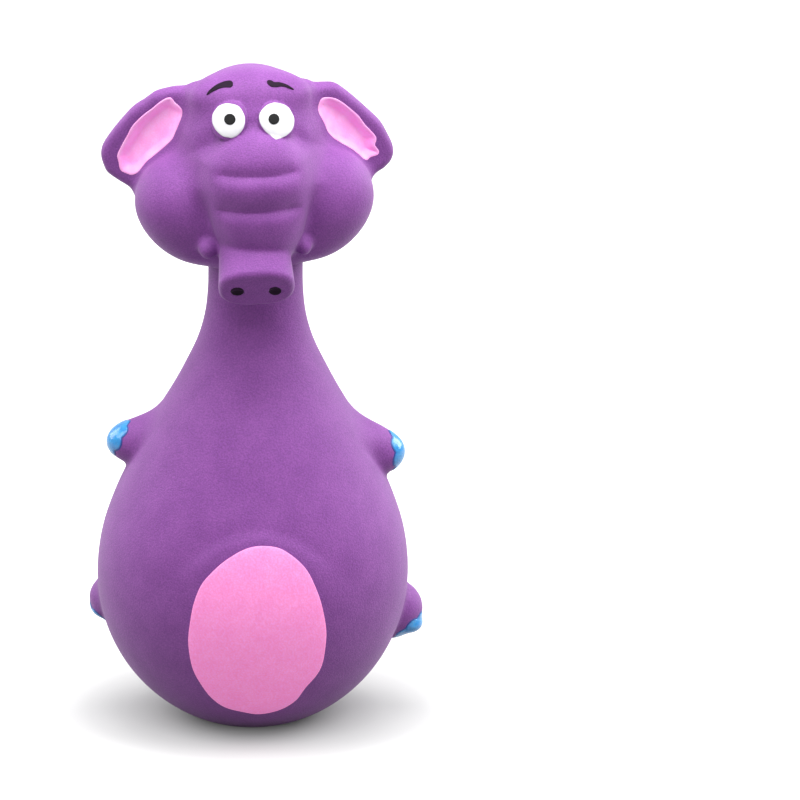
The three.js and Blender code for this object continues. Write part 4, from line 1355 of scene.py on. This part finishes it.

# %% [markdown]
# ## Bodies and finishes
# Every piece now gets its material, and the plain solids of the model that it stands for are hidden. Bones
# could bend the toy in Blender, but the moves have to be those of the model's joints, so the pieces of the
# body and of the head are only hung on empties named for their bodies. The necks and the ears keep their
# places.


def dress(piece, material, slot, *nodes):
    """Gives a piece its material, and hides the solids of the model that it stands for. The slot is not used.
    """
    piece.data.materials.clear()
    piece.data.materials.append(material)
    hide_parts(*nodes)


def press_down(piece):
    """A piece of the body hangs on the body's empty, with a mesh of its own."""
    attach(piece, "body")
    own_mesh(piece)


dress(body_skin, latex, "latex", "body_skin", "tail", *LIMBS)
press_down(body_skin)
dress(belly_paint, pink, "pink_paint", "belly_patch")
press_down(belly_paint)
for caps, material in ((nail_paint, blue), (nail_edges, thin_blue)):
    for name, piece in caps.items():
        dress(piece, material, "blue_paint", name)
        press_down(piece)

dress(neck_lower, latex, "latex", "neck_lower")
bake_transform(neck_lower)
dress(neck_upper, latex, "latex", "neck_upper")
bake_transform(neck_upper)

dress(head_skin, latex, "latex", "head_skin", "trunk", "snout", "tusk_left", "tusk_right", "ear_root_left",
      "ear_root_right")
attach(head_skin, "head")
finishes = {"eye": (white, "white_paint"), "pupil": (black, "black_paint"), "brow": (plum, "plum_paint"),
            "nostril": (plum, "plum_paint")}
for name, piece in face_paint.items():
    material, slot = finishes[name.split("_")[0]]
    dress(piece, material, slot, name)
    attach(piece, "head")

for side, name in ((-1, "left"), (1, "right")):
    dress(ear_skins[side], latex, "latex", f"ear_{name}")
    dress(ear_paint[side], pale_pink, "pink_paint", f"inner_ear_{name}")
    for piece in (ear_skins[side], ear_paint[side]):
        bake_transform(piece)

SQUEAKER = {"squeaker_cup": plastic, "reed_seat": plastic, "reed_clamp": plastic, "squeaker_lid": plastic,
            "reed": brass}
for node, material in SQUEAKER.items():
    for place in frame["nodes"][node].material_slots:
        place.material = material

# %% [markdown]
# ## Floor and light
# The toy stands on a white floor in soft light from all round, strongest from above. Under such light a white
# floor turns grey, and stronger lamps would bleach the toy. So the floor lifts its own colour towards white
# where the camera or a reflection sees it, but only weakly near the toy. That paints a soft shadow round the
# toy, on top of the shadow that the lamps cast.

# %% Floor
FLOOR_HALF = 4000
FLOOR_GREY = 0.3
# The painted shadow round the toy: the lift grows with the distance from a point a little behind the toy's
# middle, and each stop of the fade gives a share of the reach and the lift there.
PAINTED_SHADOW_BACK = 4
PAINTED_SHADOW_REACH = 65
PAINTED_SHADOW_FADE = ((0.17, 0.03), (0.28, 0.27), (0.37, 0.41), (0.48, 0.5), (0.62, 0.72))


def floor_material():
    """Grey to the light. Where the camera or a reflection sees it, its colour is lifted towards white, more
    and more with the distance from the toy. The lift is weak near the toy, which paints a shadow round it on
    top of the shadow that the lamps cast."""
    material = bpy.data.materials.new("floor_with_painted_shadow")
    material.use_nodes = True
    tree, link = material.node_tree, material.node_tree.links.new
    shader = tree.nodes["Principled BSDF"]
    shader.inputs["Base Color"].default_value = (FLOOR_GREY, FLOOR_GREY, FLOOR_GREY, 1)
    shader.inputs["Roughness"].default_value = 1
    shader.inputs["Specular IOR Level"].default_value = 0
    shader.inputs["Emission Color"].default_value = (1, 1, 1, 1)
    path = add_node(tree, "ShaderNodeLightPath")
    seen = add_node(tree, "ShaderNodeMath")
    seen.operation = "MAXIMUM"
    place = add_node(tree, "ShaderNodeTexCoord")
    away = add_node(tree, "ShaderNodeVectorMath")
    away.operation = "DISTANCE"
    away.inputs[1].default_value = (0, PAINTED_SHADOW_BACK * MM, 0)
    near = add_node(tree, "ShaderNodeMapRange", From_Max=PAINTED_SHADOW_REACH * MM)
    # Painted shadow: a ramp that keeps the floor's glow low near the toy and full at the reach.
    fade = add_node(tree, "ShaderNodeValToRGB")
    stops = fade.color_ramp.elements
    for share, level in PAINTED_SHADOW_FADE:
        stops.new(share).color = (level, level, level, 1)
    stops.remove(stops[0])
    strength = add_node(tree, "ShaderNodeMath")
    strength.operation = "MULTIPLY"
    link(path.outputs["Is Camera Ray"], seen.inputs[0])
    link(path.outputs["Is Glossy Ray"], seen.inputs[1])
    link(place.outputs["Object"], away.inputs[0])
    link(away.outputs["Value"], near.inputs["Value"])
    link(near.outputs["Result"], fade.inputs["Fac"])
    link(seen.outputs[0], strength.inputs[0])
    link(fade.outputs["Color"], strength.inputs[1])
    link(strength.outputs[0], shader.inputs["Emission Strength"])
    return material


def add_floor(half):
    """A wide level square under the toy."""
    corners = np.array([[-half, -half, 0], [half, -half, 0], [half, half, 0], [-half, half, 0]], float)
    mesh = bpy.data.meshes.new("floor")
    mesh.from_pydata((corners * MM).tolist(), [], [(0, 1, 2, 3)])
    mesh.materials.append(floor_material())
    floor = bpy.data.objects.new("floor", mesh)
    bpy.context.scene.collection.objects.link(floor)


add_floor(FLOOR_HALF)
print("the floor turns white", PAINTED_SHADOW_REACH, "mm from the toy's middle")

# %% [markdown]
# Six wide lamps give the light: the strongest overhead, one above the front, one above each side, and
# two lower ones behind that brighten the toy's edges. A picture of a sky could light the toy too, but
# lamps say in plain numbers where the light comes from.

# %% Lamps and surroundings
LAMPS = {
    "lamp_above": {"place": (0, 0, 700), "size": 420, "power": 4.2},
    "lamp_above_front": {"place": (0, -350, 600), "size": 420, "power": 1.9},
    "lamp_above_left": {"place": (-420, -120, 480), "size": 420, "power": 2.0},
    "lamp_above_right": {"place": (420, -120, 480), "size": 420, "power": 2.5},
    "lamp_back_left": {"place": (-500, 300, 300), "size": 350, "power": 1.5},
    "lamp_back_right": {"place": (500, 300, 300), "size": 350, "power": 2.6},
}


def add_lamp(name, place, size, power):
    """A square lamp at a place in millimetres, turned to the middle of the toy."""
    lamp = bpy.data.objects.new(name, bpy.data.lights.new(name, "AREA"))
    bpy.context.scene.collection.objects.link(lamp)
    lamp.data.size = size * MM
    lamp.data.energy = power
    lamp.location = np.array(place) * MM
    aim = np.array([0, 0, AIM_HEIGHT]) - np.array(place)
    level = math.hypot(aim[0], aim[1])
    lamp.rotation_euler = (math.atan2(level, -aim[2]), 0, math.atan2(-aim[0], aim[1]) if level else 0)


def add_surroundings(dim, bright):
    """Bright where the camera, a reflection or a clear thing looks past the floor, and a dim even light
    elsewhere."""
    world = bpy.data.worlds.new("studio")
    bpy.context.scene.world = world
    world.use_nodes = True
    tree, link = world.node_tree, world.node_tree.links.new
    back = tree.nodes["Background"]
    back.inputs["Color"].default_value = (1, 1, 1, 1)
    path = add_node(tree, "ShaderNodeLightPath")
    glossy = add_node(tree, "ShaderNodeMath")
    glossy.operation = "MAXIMUM"
    clear = add_node(tree, "ShaderNodeMath")
    clear.operation = "MAXIMUM"
    strength = add_node(tree, "ShaderNodeMapRange", To_Min=dim, To_Max=bright)
    link(path.outputs["Is Camera Ray"], glossy.inputs[0])
    link(path.outputs["Is Glossy Ray"], glossy.inputs[1])
    link(glossy.outputs[0], clear.inputs[0])
    link(path.outputs["Is Transmission Ray"], clear.inputs[1])
    link(clear.outputs[0], strength.inputs["Value"])
    link(strength.outputs["Result"], back.inputs["Strength"])


for name, lamp in LAMPS.items():
    add_lamp(name, **lamp)
add_surroundings(dim=0.02, bright=1)
bpy.context.scene.view_settings.view_transform = "Standard"
print(len(LAMPS), "lamps give", round(sum(lamp["power"] for lamp in LAMPS.values()), 1), "watts in all")
